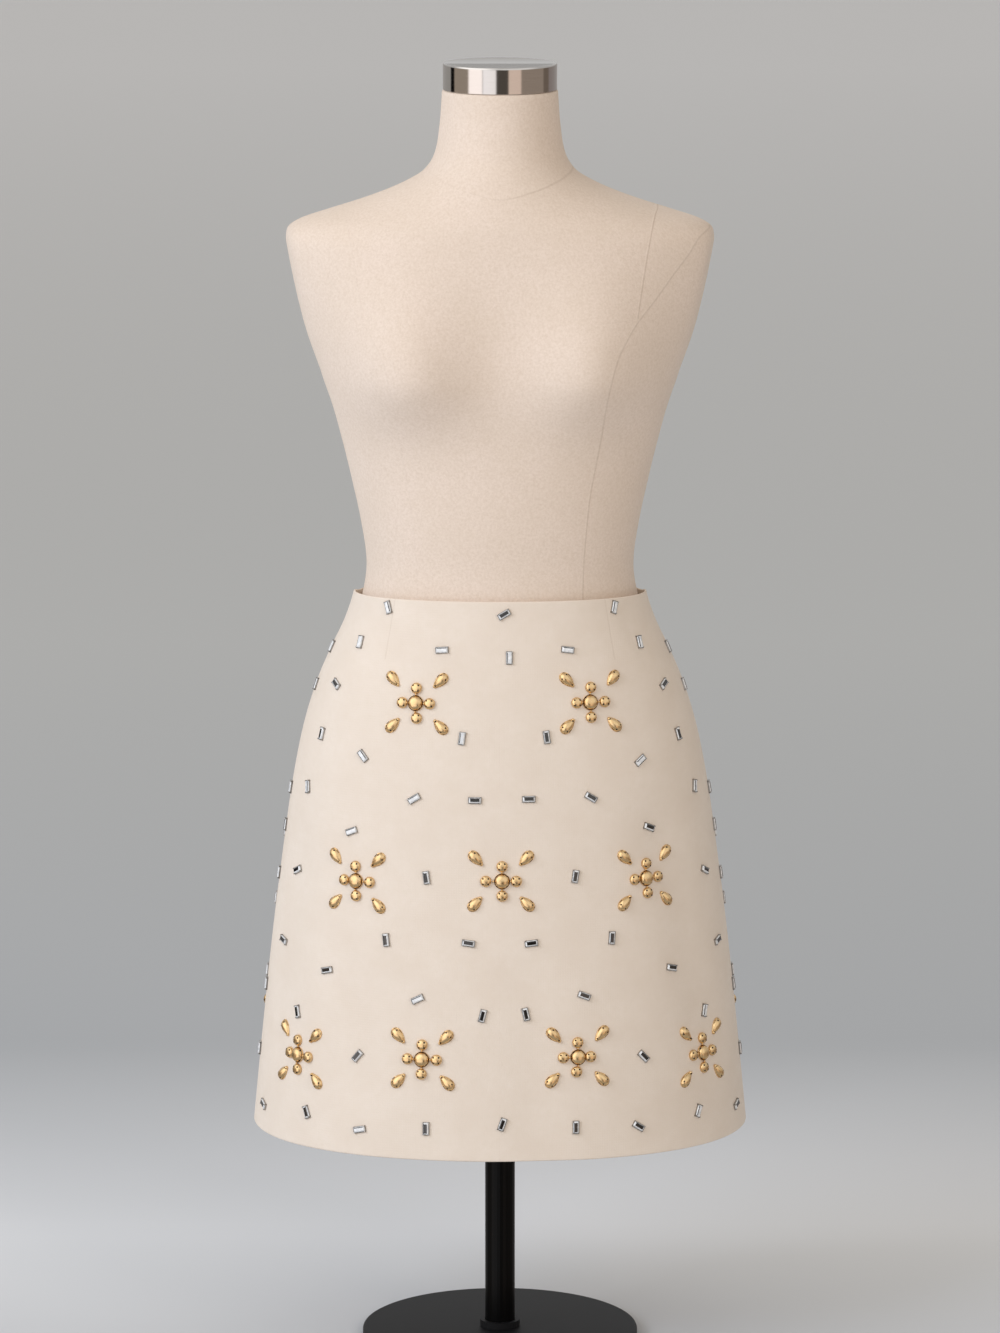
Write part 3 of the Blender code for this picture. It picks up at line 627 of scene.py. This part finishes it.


# Foil-backed cut crystal, hard and glassy, with painted reflections: a facet's colour is painted near
# white or near black in place of the bright or the dark side of the room that it would mirror, with
# painted glints across it.
def crystalMaterial(name, dark, light, coat):
    material, tree, shader = newMaterial(name, light, 0.12)
    shader.inputs["IOR"].default_value = 1.55
    shader.inputs["Coat Weight"].default_value = coat
    shader.inputs["Coat Roughness"].default_value = 0.04
    place = addNode(tree, "TexCoord").outputs["Object"]
    # Painted glints: each facet is mottled between its two painted tones
    paintedGlint = addNode(tree, "TexVoronoi", {"Vector": place, "Scale": 330.0})
    share = addNode(tree, "MapRange", {"Value": paintedGlint.outputs["Distance"], "From Max": 0.7})
    tone = addNode(tree, "MixRGB", {"Fac": share.outputs[0], "Color1": srgb(light),
                                    "Color2": srgb(dark)})
    tree.links.new(tone.outputs[0], shader.inputs["Base Color"])
    return material


# Angle that lies a distance in mm along the cloth from the centre front or the centre back
def angleAt(distance, drop, fromBack):
    start = math.pi if fromBack else 0
    way = -1 if fromBack else 1
    step = math.radians(0.5) * math.copysign(1, distance) * way
    angle, length, last = start, 0, skirtPoint(start, drop)
    while length < abs(distance) * mm:
        angle += step
        point = skirtPoint(angle, drop)
        length += (point - last).length
        last = point
    return angle


def placeOnCloth(distance, drop, lean, fromBack):
    point, across, up, out = skirtFrame(angleAt(distance, drop, fromBack), drop)
    place = Matrix((across, up, out)).transposed().to_4x4()
    place.translation = point
    return place @ Matrix.Rotation(-lean, 4, "Z")


# Spins a profile of radius and height, in mm, into a closed turned shape
def turnedShape(profile, sides):
    bm = bmesh.new()
    verts = [bm.verts.new((radius * mm, 0, height * mm)) for radius, height in profile]
    edges = [bm.edges.new(pair) for pair in zip(verts, verts[1:])]
    bmesh.ops.spin(bm, geom=verts + edges, cent=(0, 0, 0), axis=(0, 0, 1), angle=math.tau,
                   steps=sides, use_merge=True, use_duplicate=False)
    bmesh.ops.remove_doubles(bm, verts=bm.verts, dist=0.00001)
    rims = [edge for edge in bm.edges if edge.is_boundary]
    if rims:
        bmesh.ops.contextual_create(bm, geom=rims)
    bmesh.ops.recalc_face_normals(bm, faces=bm.faces)
    return bm


# Sewing holes: short pegs that end a little proud of the bead's face, in the dark material that paints the
# shade inside the holes
def addHoles(bm, places):
    tree = BVHTree.FromBMesh(bm)
    for x, y in places:
        point, normal, _, _ = tree.ray_cast(Vector((x * mm, y * mm, 0.02)), Vector((0, 0, -1)))
        turn = normal.to_track_quat("Z", "X").to_matrix().to_4x4()
        made = bmesh.ops.create_cone(bm, cap_ends=True, segments=bead["holeSides"],
                                     radius1=bead["holeRadius"] * mm,
                                     radius2=bead["holeRadius"] * mm, depth=0.5 * mm,
                                     matrix=Matrix.Translation(point - normal * 0.13 * mm) @ turn)
        for vert in made["verts"]:
            for face in vert.link_faces:
                face.material_index = 1


def addBall(bm, x, y, z, sizes):
    made = bmesh.ops.create_uvsphere(bm, u_segments=10, v_segments=6, radius=mm)
    place = Matrix.Translation((x * mm, y * mm, z * mm)) @ Matrix.Diagonal((*sizes, 1))
    bmesh.ops.transform(bm, matrix=place, verts=made["verts"])


def meshOf(name, bm):
    mesh = bpy.data.meshes.new(name)
    bm.to_mesh(mesh)
    bm.free()
    return mesh


# Half a ball in a turned cup, with a groove between them in the dark painted-shade material, and links to
# the rounds
def domeMesh():
    bm = turnedShape(bead["domeProfile"], bead["domeSides"])
    # The groove's faces get the dark painted-shade material
    for face in bm.faces:
        middle = face.calc_center_median()
        radius = math.hypot(middle.x, middle.y) / mm
        if bead["grooveFrom"] < radius < bead["grooveTo"]:
            face.material_index = 1
    addHoles(bm, [(6.2 * math.cos(turn), 6.2 * math.sin(turn))
                  for turn in (math.radians(45 + 90 * k) for k in range(4))])
    link = bead["linkRadius"]
    for k in range(4):
        turn = math.radians(90 * k)
        addBall(bm, 7.7 * math.cos(turn), 7.7 * math.sin(turn), 1.5, (link, link, link))
    return meshOf("dome", bm)


def roundMesh():
    bm = turnedShape(bead["roundProfile"], bead["roundSides"])
    addHoles(bm, [(3.4 * math.cos(turn), 3.4 * math.sin(turn))
                  for turn in (math.radians(45 + 90 * k) for k in range(4))])
    return meshOf("round", bm)


# Teardrop along +Y with its point at the low end, cut off flat at a height
def addTeardrop(bm, length, width, height, flatAt):
    made = bmesh.ops.create_uvsphere(bm, u_segments=20, v_segments=14, radius=1)
    bmesh.ops.rotate(bm, verts=made["verts"], cent=(0, 0, 0),
                     matrix=Matrix.Rotation(math.pi / 2, 3, "X"))
    for vert in made["verts"]:
        x, y, z = vert.co
        polar = math.acos(max(-1, min(1, -y)))
        narrow = (0.22 + 0.78 * math.sin(polar / 2)) / 0.86
        tall = z * narrow * (height if z > 0 else 1.0)
        vert.co = (x * narrow * width / 2 * mm, y * length / 2 * mm, min(tall, flatAt) * mm)
    return made["verts"]


def dropMesh():
    bm = bmesh.new()
    rim = 2 * bead["dropRim"]
    cup = addTeardrop(bm, bead["dropLength"] + rim, bead["dropWidth"] + rim, 4.0, 1.2)
    # The top of the cup round the drop gets the dark painted-shade material, for the shade between cup and
    # drop
    for face in {face for vert in cup for face in vert.link_faces}:
        if min(vert.co.z for vert in face.verts) > 1.1 * mm:
            face.material_index = 1
    addTeardrop(bm, bead["dropLength"], bead["dropWidth"], bead["dropHeight"], 9)
    bmesh.ops.recalc_face_normals(bm, faces=bm.faces)
    addBall(bm, 0, -7.0, 0.9, (1.7, 1.4, 1.7))
    addHoles(bm, [(-2.9, 4.3), (2.9, 4.3), (0, -6.1)])
    return meshOf("drop", bm)


# Step-cut baguette in an open metal cup with four claws. Its facets towards +X get the painted dark
# reflection.
# Materials: 0 setting, 1 painted bright reflection facet, 2 painted dark reflection facet.
def stoneMesh(tablePaintedBright):
    bm = bmesh.new()
    halfWide, halfLong = stone["width"] / 2, stone["length"] / 2

    def addBlock(wide, long, low, high, x=0, y=0, taper=(1, 1)):
        place = Matrix.Translation((x * mm, y * mm, (low + high) / 2 * mm))
        size = Matrix.Diagonal((2 * wide * mm, 2 * long * mm, (high - low) * mm, 1))
        made = bmesh.ops.create_cube(bm, size=1, matrix=place @ size)
        faces = {face for vert in made["verts"] for face in vert.link_faces}
        top = max(faces, key=lambda face: face.calc_center_median().z)
        bmesh.ops.scale(bm, verts=top.verts, vec=(*taper, 1))
        return top

    rim = stone["rim"]
    top = addBlock(halfWide, halfLong, -0.5, stone["rimHeight"])
    bmesh.ops.inset_region(bm, faces=[top], thickness=rim * mm, use_even_offset=True)
    bmesh.ops.translate(bm, verts=top.verts, vec=(0, 0, -0.6 * mm))
    metal = set(bm.faces)
    top = addBlock(halfWide - rim, halfLong - rim, stone["crownFoot"], stone["crown"],
                   taper=stone["crownTaper"])
    ring = bmesh.ops.inset_region(bm, faces=[top], thickness=stone["step"] * mm,
                                  use_even_offset=True)["faces"]
    bmesh.ops.translate(bm, verts=top.verts, vec=(0, 0, stone["stepHeight"] * mm))
    for face in set(bm.faces) - metal:
        face.material_index = 1
    # Step facets towards +X are painted dark, a painted reflection of the room's dark side
    for face in ring:
        if face.calc_center_median().x > 0.6 * mm:
            face.material_index = 2
    # The table gets the painted bright or the painted dark reflection
    if not tablePaintedBright:
        top.material_index = 2
    for sideX in (-1, 1):
        for sideY in (-1, 1):
            addBlock(0.45, 0.55, 0, 2.2, sideX * (halfWide - 0.45), sideY * (halfLong - 0.7))
    bmesh.ops.recalc_face_normals(bm, faces=bm.faces)
    return meshOf("stone", bm)


# Adds a copy of a small mesh to a joined piece, at its place on the cloth
def stamp(bm, mesh, place):
    before = len(bm.verts)
    bm.from_mesh(mesh)
    bm.verts.ensure_lookup_table()
    bmesh.ops.transform(bm, matrix=place, verts=bm.verts[before:])


def addOrnament(bm, shapes, centre, drop, fromBack):
    stamp(bm, shapes["dome"], placeOnCloth(centre, drop, 0, fromBack))
    gap = beading["roundOffset"]
    for across, down in ((0, -1), (0, 1), (-1, 0), (1, 0)):
        place = placeOnCloth(centre + across * gap, drop + down * gap, 0, fromBack)
        stamp(bm, shapes["round"], place)
    tilt = math.radians(beading["dropTilt"])
    way = -1 if fromBack else 1
    for across in (-1, 1):
        for down in (-1, 1):
            lean = across * way * (tilt if down < 0 else math.pi - tilt)
            place = placeOnCloth(centre + across * beading["dropAcross"],
                                 drop + down * beading["dropUp"], lean, fromBack)
            stamp(bm, shapes["drop"], place)


def beadedPanel(label, ornaments, stones, fromBack, shapes, finishes):
    bm = bmesh.new()
    for centre, drop in ornaments:
        addOrnament(bm, shapes, centre, drop, fromBack)
    gold = finishPiece(label + "_gold_beads", bm, finishes["gold"], "root", 50)
    bm = bmesh.new()
    for centre, drop, lean, paintedBright in stones:
        place = placeOnCloth(centre, drop, math.radians(lean), fromBack)
        # Each stone is turned so that its painted dark side faces up or towards -X
        paintedDarkWay = place.to_3x3() @ Vector((1, 0, 0))
        if paintedDarkWay.z < 0.4 * paintedDarkWay.x:
            place = place @ Matrix.Rotation(math.pi, 4, "Z")
        stamp(bm, shapes["paintedBrightStone" if paintedBright else "paintedDarkStone"], place)
    crystals = finishPiece(label + "_baguettes", bm, finishes["crystal"], "root", 20)
    return gold, crystals


def beadThePanels(goldPlate):
    shapes = {"dome": domeMesh(), "round": roundMesh(), "drop": dropMesh(),
              "paintedBrightStone": stoneMesh(True), "paintedDarkStone": stoneMesh(False)}
    finishes = {
        "gold": [goldPlate, hollowShadeMaterial()],
        "crystal": [settingMaterial(),
                    crystalMaterial("crystal_painted_bright_reflection", "#DCDEE1", "#FFFFFF", 1.0),
                    crystalMaterial("crystal_painted_dark_reflection", "#0C0A09", "#2B2522", 0.6)],
    }
    stones = beading["frontStones"] + [(side * centre, drop, side * lean, paintedBright)
                                       for centre, drop, lean, paintedBright in beading["edgeStones"]
                                       for side in (-1, 1)]
    made = {"front": beadedPanel("front", beading["frontOrnaments"], stones, False, shapes,
                                 finishes)}
    for label, side in (("back_right", 1), ("back_left", -1)):
        ornaments = [(side * centre, drop) for centre, drop in beading["backOrnaments"]]
        stones = [(side * centre, drop, -side * lean, paintedBright)
                  for centre, drop, lean, paintedBright in beading["backStones"]]
        made[label] = beadedPanel(label, ornaments, stones, True, shapes, finishes)
    for mesh in shapes.values():
        bpy.data.meshes.remove(mesh)
    return made


goldPlate = goldMaterial()
beads = beadThePanels(goldPlate)

print("zip")

zipper = {
    "top": 3, "bottom": 205, "halfWidth": 12, "inset": 2.35, "thickness": 0.6,
    "coilTop": 12, "coilPitch": 1.6, "coilSizes": (1.1, 0.55, 0.4), "coilDeep": 3.25,
}


# Knitted polyester tape: fine ribs along its length, a little shine
def tapeMaterial():
    material, tree, shader = newMaterial("knitted_polyester_tape", "#DCC9B8", 0.6)
    cut = addNode(tree, "UVMap", uv_map="cut").outputs["UV"]
    ribs = addNode(tree, "TexWave", {"Vector": cut, "Scale": 320.0, "Distortion": 0.3},
                   bands_direction="X")
    tone = addNode(tree, "MixRGB", {"Fac": ribs.outputs["Fac"], "Color1": srgb("#CDB9A6"),
                                    "Color2": srgb("#E4D3C4")})
    tree.links.new(tone.outputs[0], shader.inputs["Base Color"])
    bump = addNode(tree, "Bump", {"Height": ribs.outputs["Fac"], "Strength": 0.4,
                                  "Distance": 0.0002})
    tree.links.new(bump.outputs[0], shader.inputs["Normal"])
    return material


# Nylon monofilament of the zip's coil: milky, smooth and slightly glossy
def coilMaterial():
    material, tree, shader = newMaterial("nylon_monofilament", "#E2D2C3", 0.35)
    shader.inputs["IOR"].default_value = 1.53
    place = addNode(tree, "TexCoord").outputs["Object"]
    patch = addNode(tree, "TexNoise", {"Vector": place, "Scale": 300.0})
    tone = addNode(tree, "MixRGB", {"Fac": patch.outputs["Fac"], "Color1": srgb("#D8C6B5"),
                                    "Color2": srgb("#EADBCD")})
    tree.links.new(tone.outputs[0], shader.inputs["Base Color"])
    return material


def makeZip():
    bm = bmesh.new()
    uvLayer = bm.loops.layers.uv.new("cut")
    bmesh.ops.create_grid(bm, x_segments=12, y_segments=60, size=1)
    places = {}
    for vert in bm.verts:
        drop = zipper["top"] + (zipper["bottom"] - zipper["top"]) * (1 - vert.co.y) / 2
        across = vert.co.x * zipper["halfWidth"]
        point, _, _, out = skirtFrame(math.pi + across / skirtSection(drop)[0], drop)
        places[vert] = (across * mm, drop * mm)
        vert.co = point - out * zipper["inset"] * mm
    for face in bm.faces:
        for loop in face.loops:
            loop[uvLayer].uv = places[loop.vert]
    bmesh.ops.recalc_face_normals(bm, faces=bm.faces)
    tape = finishPiece("zip_tapes", bm, [tapeMaterial()], "root", 180)
    wall = tape.modifiers.new("tape thickness", "SOLIDIFY")
    wall.thickness = zipper["thickness"] * mm
    wall.offset = -1
    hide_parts("zip_tape")

    bm = bmesh.new()
    drop = zipper["coilTop"]
    while drop < zipper["bottom"] - 5:
        point, across, up, out = skirtFrame(math.pi, drop)
        place = Matrix((across, up, out)).transposed().to_4x4()
        place.translation = point - out * zipper["coilDeep"] * mm
        made = bmesh.ops.create_uvsphere(bm, u_segments=8, v_segments=5, radius=mm)
        bmesh.ops.transform(bm, matrix=place @ Matrix.Diagonal((*zipper["coilSizes"], 1)),
                            verts=made["verts"])
        drop += zipper["coilPitch"]
    coil = finishPiece("zip_coil", bm, [coilMaterial()], "root", 60)
    return tape, coil


tapes, zipCoil = makeZip()

print("dress form")

form = {
    # Height, half width, front depth, back depth, fullness
    "sections": [
        (388, 154, 99, 105, 0.012), (396, 166, 108, 114, 0.012), (430, 174.5, 115, 120, 0.012),
        (494, 179, 117.5, 123, 0.012), (539, 177.4, 115.5, 121.5, 0.012),
        (577, 170.7, 110.9, 120, 0.012), (607, 160, 104.5, 112.5, 0.012),
        (633, 147.2, 97.5, 102.5, 0.012), (662, 131.3, 89.8, 90.5, 0.012),
        (689, 122.3, 85.8, 82.7, 0.012), (716, 119.2, 84, 79, 0.012), (752, 124, 86, 80, 0.012),
        (788, 131.6, 88, 85, 0.012), (824, 140.2, 90, 91, 0.012), (860, 150.2, 92, 97, 0.010),
        (896, 164, 93, 102, 0.006), (932, 179, 93, 105, 0.002), (967, 192, 92, 105, -0.002),
        (994, 198, 90, 102, -0.008), (1010, 196, 88, 99, -0.014), (1021, 180, 86, 95, -0.020),
        (1030, 153, 83, 90, -0.022), (1038, 127, 80, 85, -0.018), (1047, 101.6, 76, 79, -0.008),
        (1056, 81.7, 72, 73, 0), (1065, 67.6, 67, 66, 0), (1080, 58, 59, 58.5, 0),
        (1106, 53.4, 53.6, 53.4, 0), (1136, 51.2, 51.2, 51.2, 0),
    ],
    # Arm plates: a leaning plane that the sides are pressed to
    "plateTop": 1003, "plateX": 190.5, "plateLean": 0.19, "plateTurn": 0.10, "plateBottom": 865,
    "plateSoftness": 7, "plateClear": 200,
    "bustX": 88, "bustHeight": 893, "bustSwell": 33, "bustAcross": 41, "bustUp": 52,
    "bustDown": 32,
    "socketRadius": 13.8, "socketTop": 449.3, "columns": 240,
    # Heights at which the rows of the mesh change their spacing, and the spacing above each
    "rowSteps": [(388, 2), (396, 4), (980, 2.4), (1004, 1.3), (1062, 2.4), (1090, 3.4)],
    # Seams: height and distance from the centre line, over the bust to the arm plate's top and
    # from there up to the shoulder
    "princess": [
        (590, 71), (701, 73), (727, 73.9), (759, 76.4), (788, 79.6), (804, 82.6), (837, 88.6),
        (868, 93), (891, 97.5), (912, 103.6), (927, 111.5), (940, 119.8), (951, 129.3),
        (966, 141.7), (982, 154), (996, 165.7), (1010, 175.7), (1016, 185.3),
    ],
    "shoulder": [(940, 119.8), (956, 122), (983, 126.3), (1002, 129.6), (1018, 132.9),
                 (1029, 136), (1034, 139)],
    # Round the foot of the neck: degrees from the centre front, height
    "neck": [(-23, 1053.5), (0, 1047.3), (23, 1053.5), (46, 1061), (78, 1067.5), (120, 1069),
             (180, 1066)],
    "noSeam": 20,
}


def formPoint(angle, height):
    half, front, back, fullness = (readTable(form["sections"], c, height) for c in (1, 2, 3, 4))
    x, y = ovalPoint(angle, half, front, back, fullness)
    if y < 0:
        spread = form["bustUp"] if height > form["bustHeight"] else form["bustDown"]
        above = (height - form["bustHeight"]) / spread
        swell = form["bustSwell"] * math.exp(-above ** 2 / 2) * sum(
            math.exp(-((x - centre) / form["bustAcross"]) ** 2 / 2)
            for centre in (-form["bustX"], form["bustX"]))
        y -= swell * smoothStep(0, 0.35, math.cos(angle))
    fall = max(0, form["plateTop"] - max(height, form["plateBottom"]))
    plane = form["plateX"] - form["plateLean"] * fall + form["plateTurn"] * y
    bottom = form["plateBottom"]
    plane += form["plateClear"] * (1 - smoothStep(bottom - 45, bottom + 25, height))
    size = abs(x)
    size = (size + plane - math.sqrt((size - plane) ** 2 + form["plateSoftness"] ** 2)) / 2
    return Vector((math.copysign(size, x) * mm, y * mm, height * mm))


# Signed distance in mm from a point of the cover to a seam that runs up the form
def besideSeam(table, point):
    x, y, z = (c / mm for c in point)
    if y > 45 or z < table[0][0] or z > table[-1][0] + 1:
        return form["noSeam"]
    slope = readTable(table, 1, z + 1) - readTable(table, 1, z - 1)
    return (abs(x) - readTable(table, 1, z)) / math.hypot(1, slope / 2)


# Natural linen stretched over foam: matt, with a close pebbly weave. Threads are 0.45 mm
# apart, drawn as 2 mm grain so that they show.
def linenMaterial():
    material, tree, shader = newMaterial("natural_linen_cover", "#EADACC", 0.9)
    shader.inputs["Specular IOR Level"].default_value = 0.2
    shader.inputs["Sheen Weight"].default_value = 0.28
    shader.inputs["Sheen Roughness"].default_value = 0.45
    shader.inputs["Sheen Tint"].default_value = srgb("#FFF9F3")
    place = addNode(tree, "TexCoord").outputs["Object"]
    axes = addNode(tree, "SeparateXYZ", {0: place})
    cloud = addNode(tree, "TexNoise", {"Vector": place, "Scale": 22.0, "Detail": 3.0})
    tone = addNode(tree, "MapRange", {"Value": cloud.outputs["Fac"], "From Min": 0.35,
                                      "From Max": 0.65})
    base = addNode(tree, "MixRGB", {"Fac": tone.outputs[0], "Color1": srgb("#EAD9CA"),
                                    "Color2": srgb("#EDDCCE")})
    slub = addNode(tree, "TexNoise", {"Vector": place, "Scale": 430.0, "Detail": 4.0,
                                      "Roughness": 0.75})
    fleck = addNode(tree, "MapRange", {"Value": slub.outputs["Fac"], "From Min": 0.38,
                                       "From Max": 0.66, "To Max": 0.60})
    flecked = addNode(tree, "MixRGB", {"Fac": fleck.outputs[0], "Color1": base.outputs[0],
                                       "Color2": srgb("#D9C5B2")})

    # Stitched seams, from the distances that the mesh carries, in mm: a ridge in the relief, with painted
    # shade along it. The painted shade and the ridge are both weaker on the -X side, where the key light
    # falls.
    nearest = None
    for name in ("princess", "shoulder", "neck"):
        away = addNode(tree, "Attribute", attribute_name=name)
        size = addNode(tree, "Math", {0: away.outputs["Fac"]}, operation="ABSOLUTE")
        nearest = addNode(tree, "Math", {0: size.outputs[0], 1: nearest.outputs[0]},
                          operation="MINIMUM") if nearest else size
    line = addNode(tree, "MapRange", {"Value": nearest.outputs[0], "From Min": 0.0,
                                      "From Max": 1.3, "To Min": 1.0, "To Max": 0.0},
                   interpolation_type="SMOOTHSTEP")
    # Weight of the seams' painted shade and ridge: fainter towards -X, where the key light falls
    side = addNode(tree, "MapRange", {"Value": axes.outputs["X"], "From Min": -0.03,
                                      "From Max": 0.03, "To Min": 0.2, "To Max": 1.0})
    seam = addNode(tree, "Math", {0: line.outputs[0], 1: side.outputs[0]}, operation="MULTIPLY")
    seamShade = addNode(tree, "Math", {0: seam.outputs[0], 1: 0.20}, operation="MULTIPLY")
    seamShaded = addNode(tree, "MixRGB", {"Fac": seamShade.outputs[0], "Color1": flecked.outputs[0],
                                    "Color2": srgb("#A98F7C")})
    tree.links.new(seamShaded.outputs[0], shader.inputs["Base Color"])
    weave = addNode(tree, "TexNoise", {"Vector": place, "Scale": 900.0, "Detail": 2.0})
    both = addNode(tree, "Math", {0: slub.outputs["Fac"], 1: weave.outputs["Fac"]}, operation="ADD")
    relief = addNode(tree, "Math", {0: seam.outputs[0], 1: 2.2, 2: both.outputs[0]},
                     operation="MULTIPLY_ADD")
    bump = addNode(tree, "Bump", {"Height": relief.outputs[0], "Strength": 0.4,
                                  "Distance": 0.00025})
    tree.links.new(bump.outputs[0], shader.inputs["Normal"])
    return material


def makeTorso():
    heights = []
    stops = form["rowSteps"] + [(1134.8, 0)]
    for (low, step), (high, _) in zip(stops, stops[1:]):
        count = round((high - low) / step)
        heights += [low + (high - low) * k / count for k in range(count)]
    heights.append(1134.8)
    columns, rows = form["columns"], len(heights) - 1
    bm = bmesh.new()
    bmesh.ops.create_grid(bm, x_segments=columns, y_segments=rows, size=1)
    layers = {name: bm.verts.layers.float.new(name) for name in ("princess", "shoulder", "neck")}
    for vert in bm.verts:
        angle = vert.co.x * math.pi
        height = heights[round((vert.co.y + 1) / 2 * rows)]
        vert.co = formPoint(angle, height)
    bmesh.ops.remove_doubles(bm, verts=bm.verts, dist=0.00002)
    bmesh.ops.recalc_face_normals(bm, faces=bm.faces)
    # Rolled neck edge, and the socket that takes the pole
    for high, inward in ((1135.7, 0.5), (1136.1, 1.6), (1136.1, 22)):
        rim = [edge for edge in bm.edges if edge.is_boundary and edge.verts[0].co.z > 1.1]
        made = bmesh.ops.extrude_edge_only(bm, edges=rim)
        for vert in made["geom"]:
            if isinstance(vert, bmesh.types.BMVert):
                share = (51.2 - inward) / 51.2
                size = 51.2 * mm / Vector((vert.co.x, vert.co.y)).length
                vert.co = (vert.co.x * size * share, vert.co.y * size * share, high * mm)
    rim = [edge for edge in bm.edges if edge.is_boundary and edge.verts[0].co.z > 1.1]
    bmesh.ops.contextual_create(bm, geom=rim)
    for radius, height in ((form["socketRadius"], 386), (form["socketRadius"], form["socketTop"])):
        rim = [edge for edge in bm.edges if edge.is_boundary]
        made = bmesh.ops.extrude_edge_only(bm, edges=rim)
        for vert in made["geom"]:
            if isinstance(vert, bmesh.types.BMVert):
                size = radius * mm / Vector((vert.co.x, vert.co.y)).length
                vert.co = (vert.co.x * size, vert.co.y * size, height * mm)
    rim = [edge for edge in bm.edges if edge.is_boundary]
    bmesh.ops.contextual_create(bm, geom=rim)
    bmesh.ops.recalc_face_normals(bm, faces=bm.faces)
    for vert in bm.verts:
        vert[layers["princess"]] = besideSeam(form["princess"], vert.co)
        vert[layers["shoulder"]] = besideSeam(form["shoulder"], vert.co)
        around = abs(math.degrees(math.atan2(vert.co.x, -vert.co.y)))
        vert[layers["neck"]] = vert.co.z / mm - readTable(form["neck"], 1, around)
    torso = finishPiece("form_torso_cover", bm, [linenMaterial()], "root", 60)
    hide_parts("form_torso")
    return torso


torso = makeTorso()

print("stand")

stand = {
    "capRadius": 50.4, "capBottom": 1136.3, "capTop": 1160,
    "baseRadius": 125, "baseHeight": 8,
}


# Polished stainless steel: mirror-like bands, faintly brushed round the side
def steelMaterial():
    material, tree, shader = newMaterial("polished_stainless_steel", "#C4BFBA", 0.09,
                                         **{"Metallic": 1.0})
    place = addNode(tree, "TexCoord").outputs["Object"]
    stretched = addNode(tree, "Mapping", {"Vector": place, "Scale": (1.0, 1.0, 60.0)})
    brush = addNode(tree, "TexNoise", {"Vector": stretched.outputs[0], "Scale": 60.0, "Detail": 3.0})
    tone = addNode(tree, "MixRGB", {"Fac": brush.outputs["Fac"], "Color1": srgb("#BEB9B4"),
                                    "Color2": srgb("#CBC7C3")})
    tree.links.new(tone.outputs[0], shader.inputs["Base Color"])
    rough = addNode(tree, "MapRange", {"Value": brush.outputs["Fac"], "To Min": 0.07,
                                       "To Max": 0.12})
    tree.links.new(rough.outputs[0], shader.inputs["Roughness"])
    return material


# Satin black stove enamel over steel tube: deep black with a faint soft reflection
def enamelMaterial():
    material, tree, shader = newMaterial("black_stove_enamel", "#040404", 0.34)
    shader.inputs["Specular IOR Level"].default_value = 0.1
    place = addNode(tree, "TexCoord").outputs["Object"]
    peel = addNode(tree, "TexNoise", {"Vector": place, "Scale": 350.0, "Detail": 2.0})
    tone = addNode(tree, "MixRGB", {"Fac": peel.outputs["Fac"], "Color1": srgb("#030303"),
                                    "Color2": srgb("#060606")})
    tree.links.new(tone.outputs[0], shader.inputs["Base Color"])
    bump = addNode(tree, "Bump", {"Height": peel.outputs["Fac"], "Strength": 0.12,
                                  "Distance": 0.0001})
    tree.links.new(bump.outputs[0], shader.inputs["Normal"])
    return material


# Charcoal powder coat: fine orange-peel grain, dull
def powderMaterial():
    material, tree, shader = newMaterial("charcoal_powder_coat", "#131314", 0.55)
    shader.inputs["Specular IOR Level"].default_value = 0.18
    place = addNode(tree, "TexCoord").outputs["Object"]
    grain = addNode(tree, "TexNoise", {"Vector": place, "Scale": 700.0, "Detail": 3.0})
    tone = addNode(tree, "MixRGB", {"Fac": grain.outputs["Fac"], "Color1": srgb("#0F0F10"),
                                    "Color2": srgb("#18181A")})
    tree.links.new(tone.outputs[0], shader.inputs["Base Color"])
    bump = addNode(tree, "Bump", {"Height": grain.outputs["Fac"], "Strength": 0.3,
                                  "Distance": 0.0003})
    tree.links.new(bump.outputs[0], shader.inputs["Normal"])
    return material


def makeStand():
    radius, low, high = stand["capRadius"], stand["capBottom"], stand["capTop"]
    profile = [(0, low), (radius - 0.5, low), (radius, low + 0.5), (radius, low + 1),
               (radius, high - 2.4), (radius, high - 1.4), (radius - 0.3, high - 0.6),
               (radius - 0.9, high - 0.15), (radius - 1.7, high - 0.05),
               (radius - 2.2, high - 0.25), (0, high - 0.25)]
    cap = finishPiece("neck_cap_steel", turnedShape(profile, 160), [steelMaterial()], "root",
                      30)
    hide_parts("neck_cap")

    radius, high = stand["baseRadius"], stand["baseHeight"]
    profile = [(0, 0), (radius - 1.5, 0), (radius - 0.4, 0.5), (radius, 1.5), (radius, high - 2.2),
               (radius - 0.6, high - 0.8), (radius - 1.8, high - 0.1), (radius - 3, high), (0, high)]
    powder = powderMaterial()
    base = finishPiece("base_plate_coated", turnedShape(profile, 128), [powder], "root",
                       30)
    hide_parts("base_plate")

    for name, material in (("pole", enamelMaterial()), ("base_collar", powder),
                           ("zip_slider", goldPlate), ("zip_pull", goldPlate)):
        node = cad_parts[name]
        node.data.materials.clear()
        node.data.materials.append(material)


makeStand()
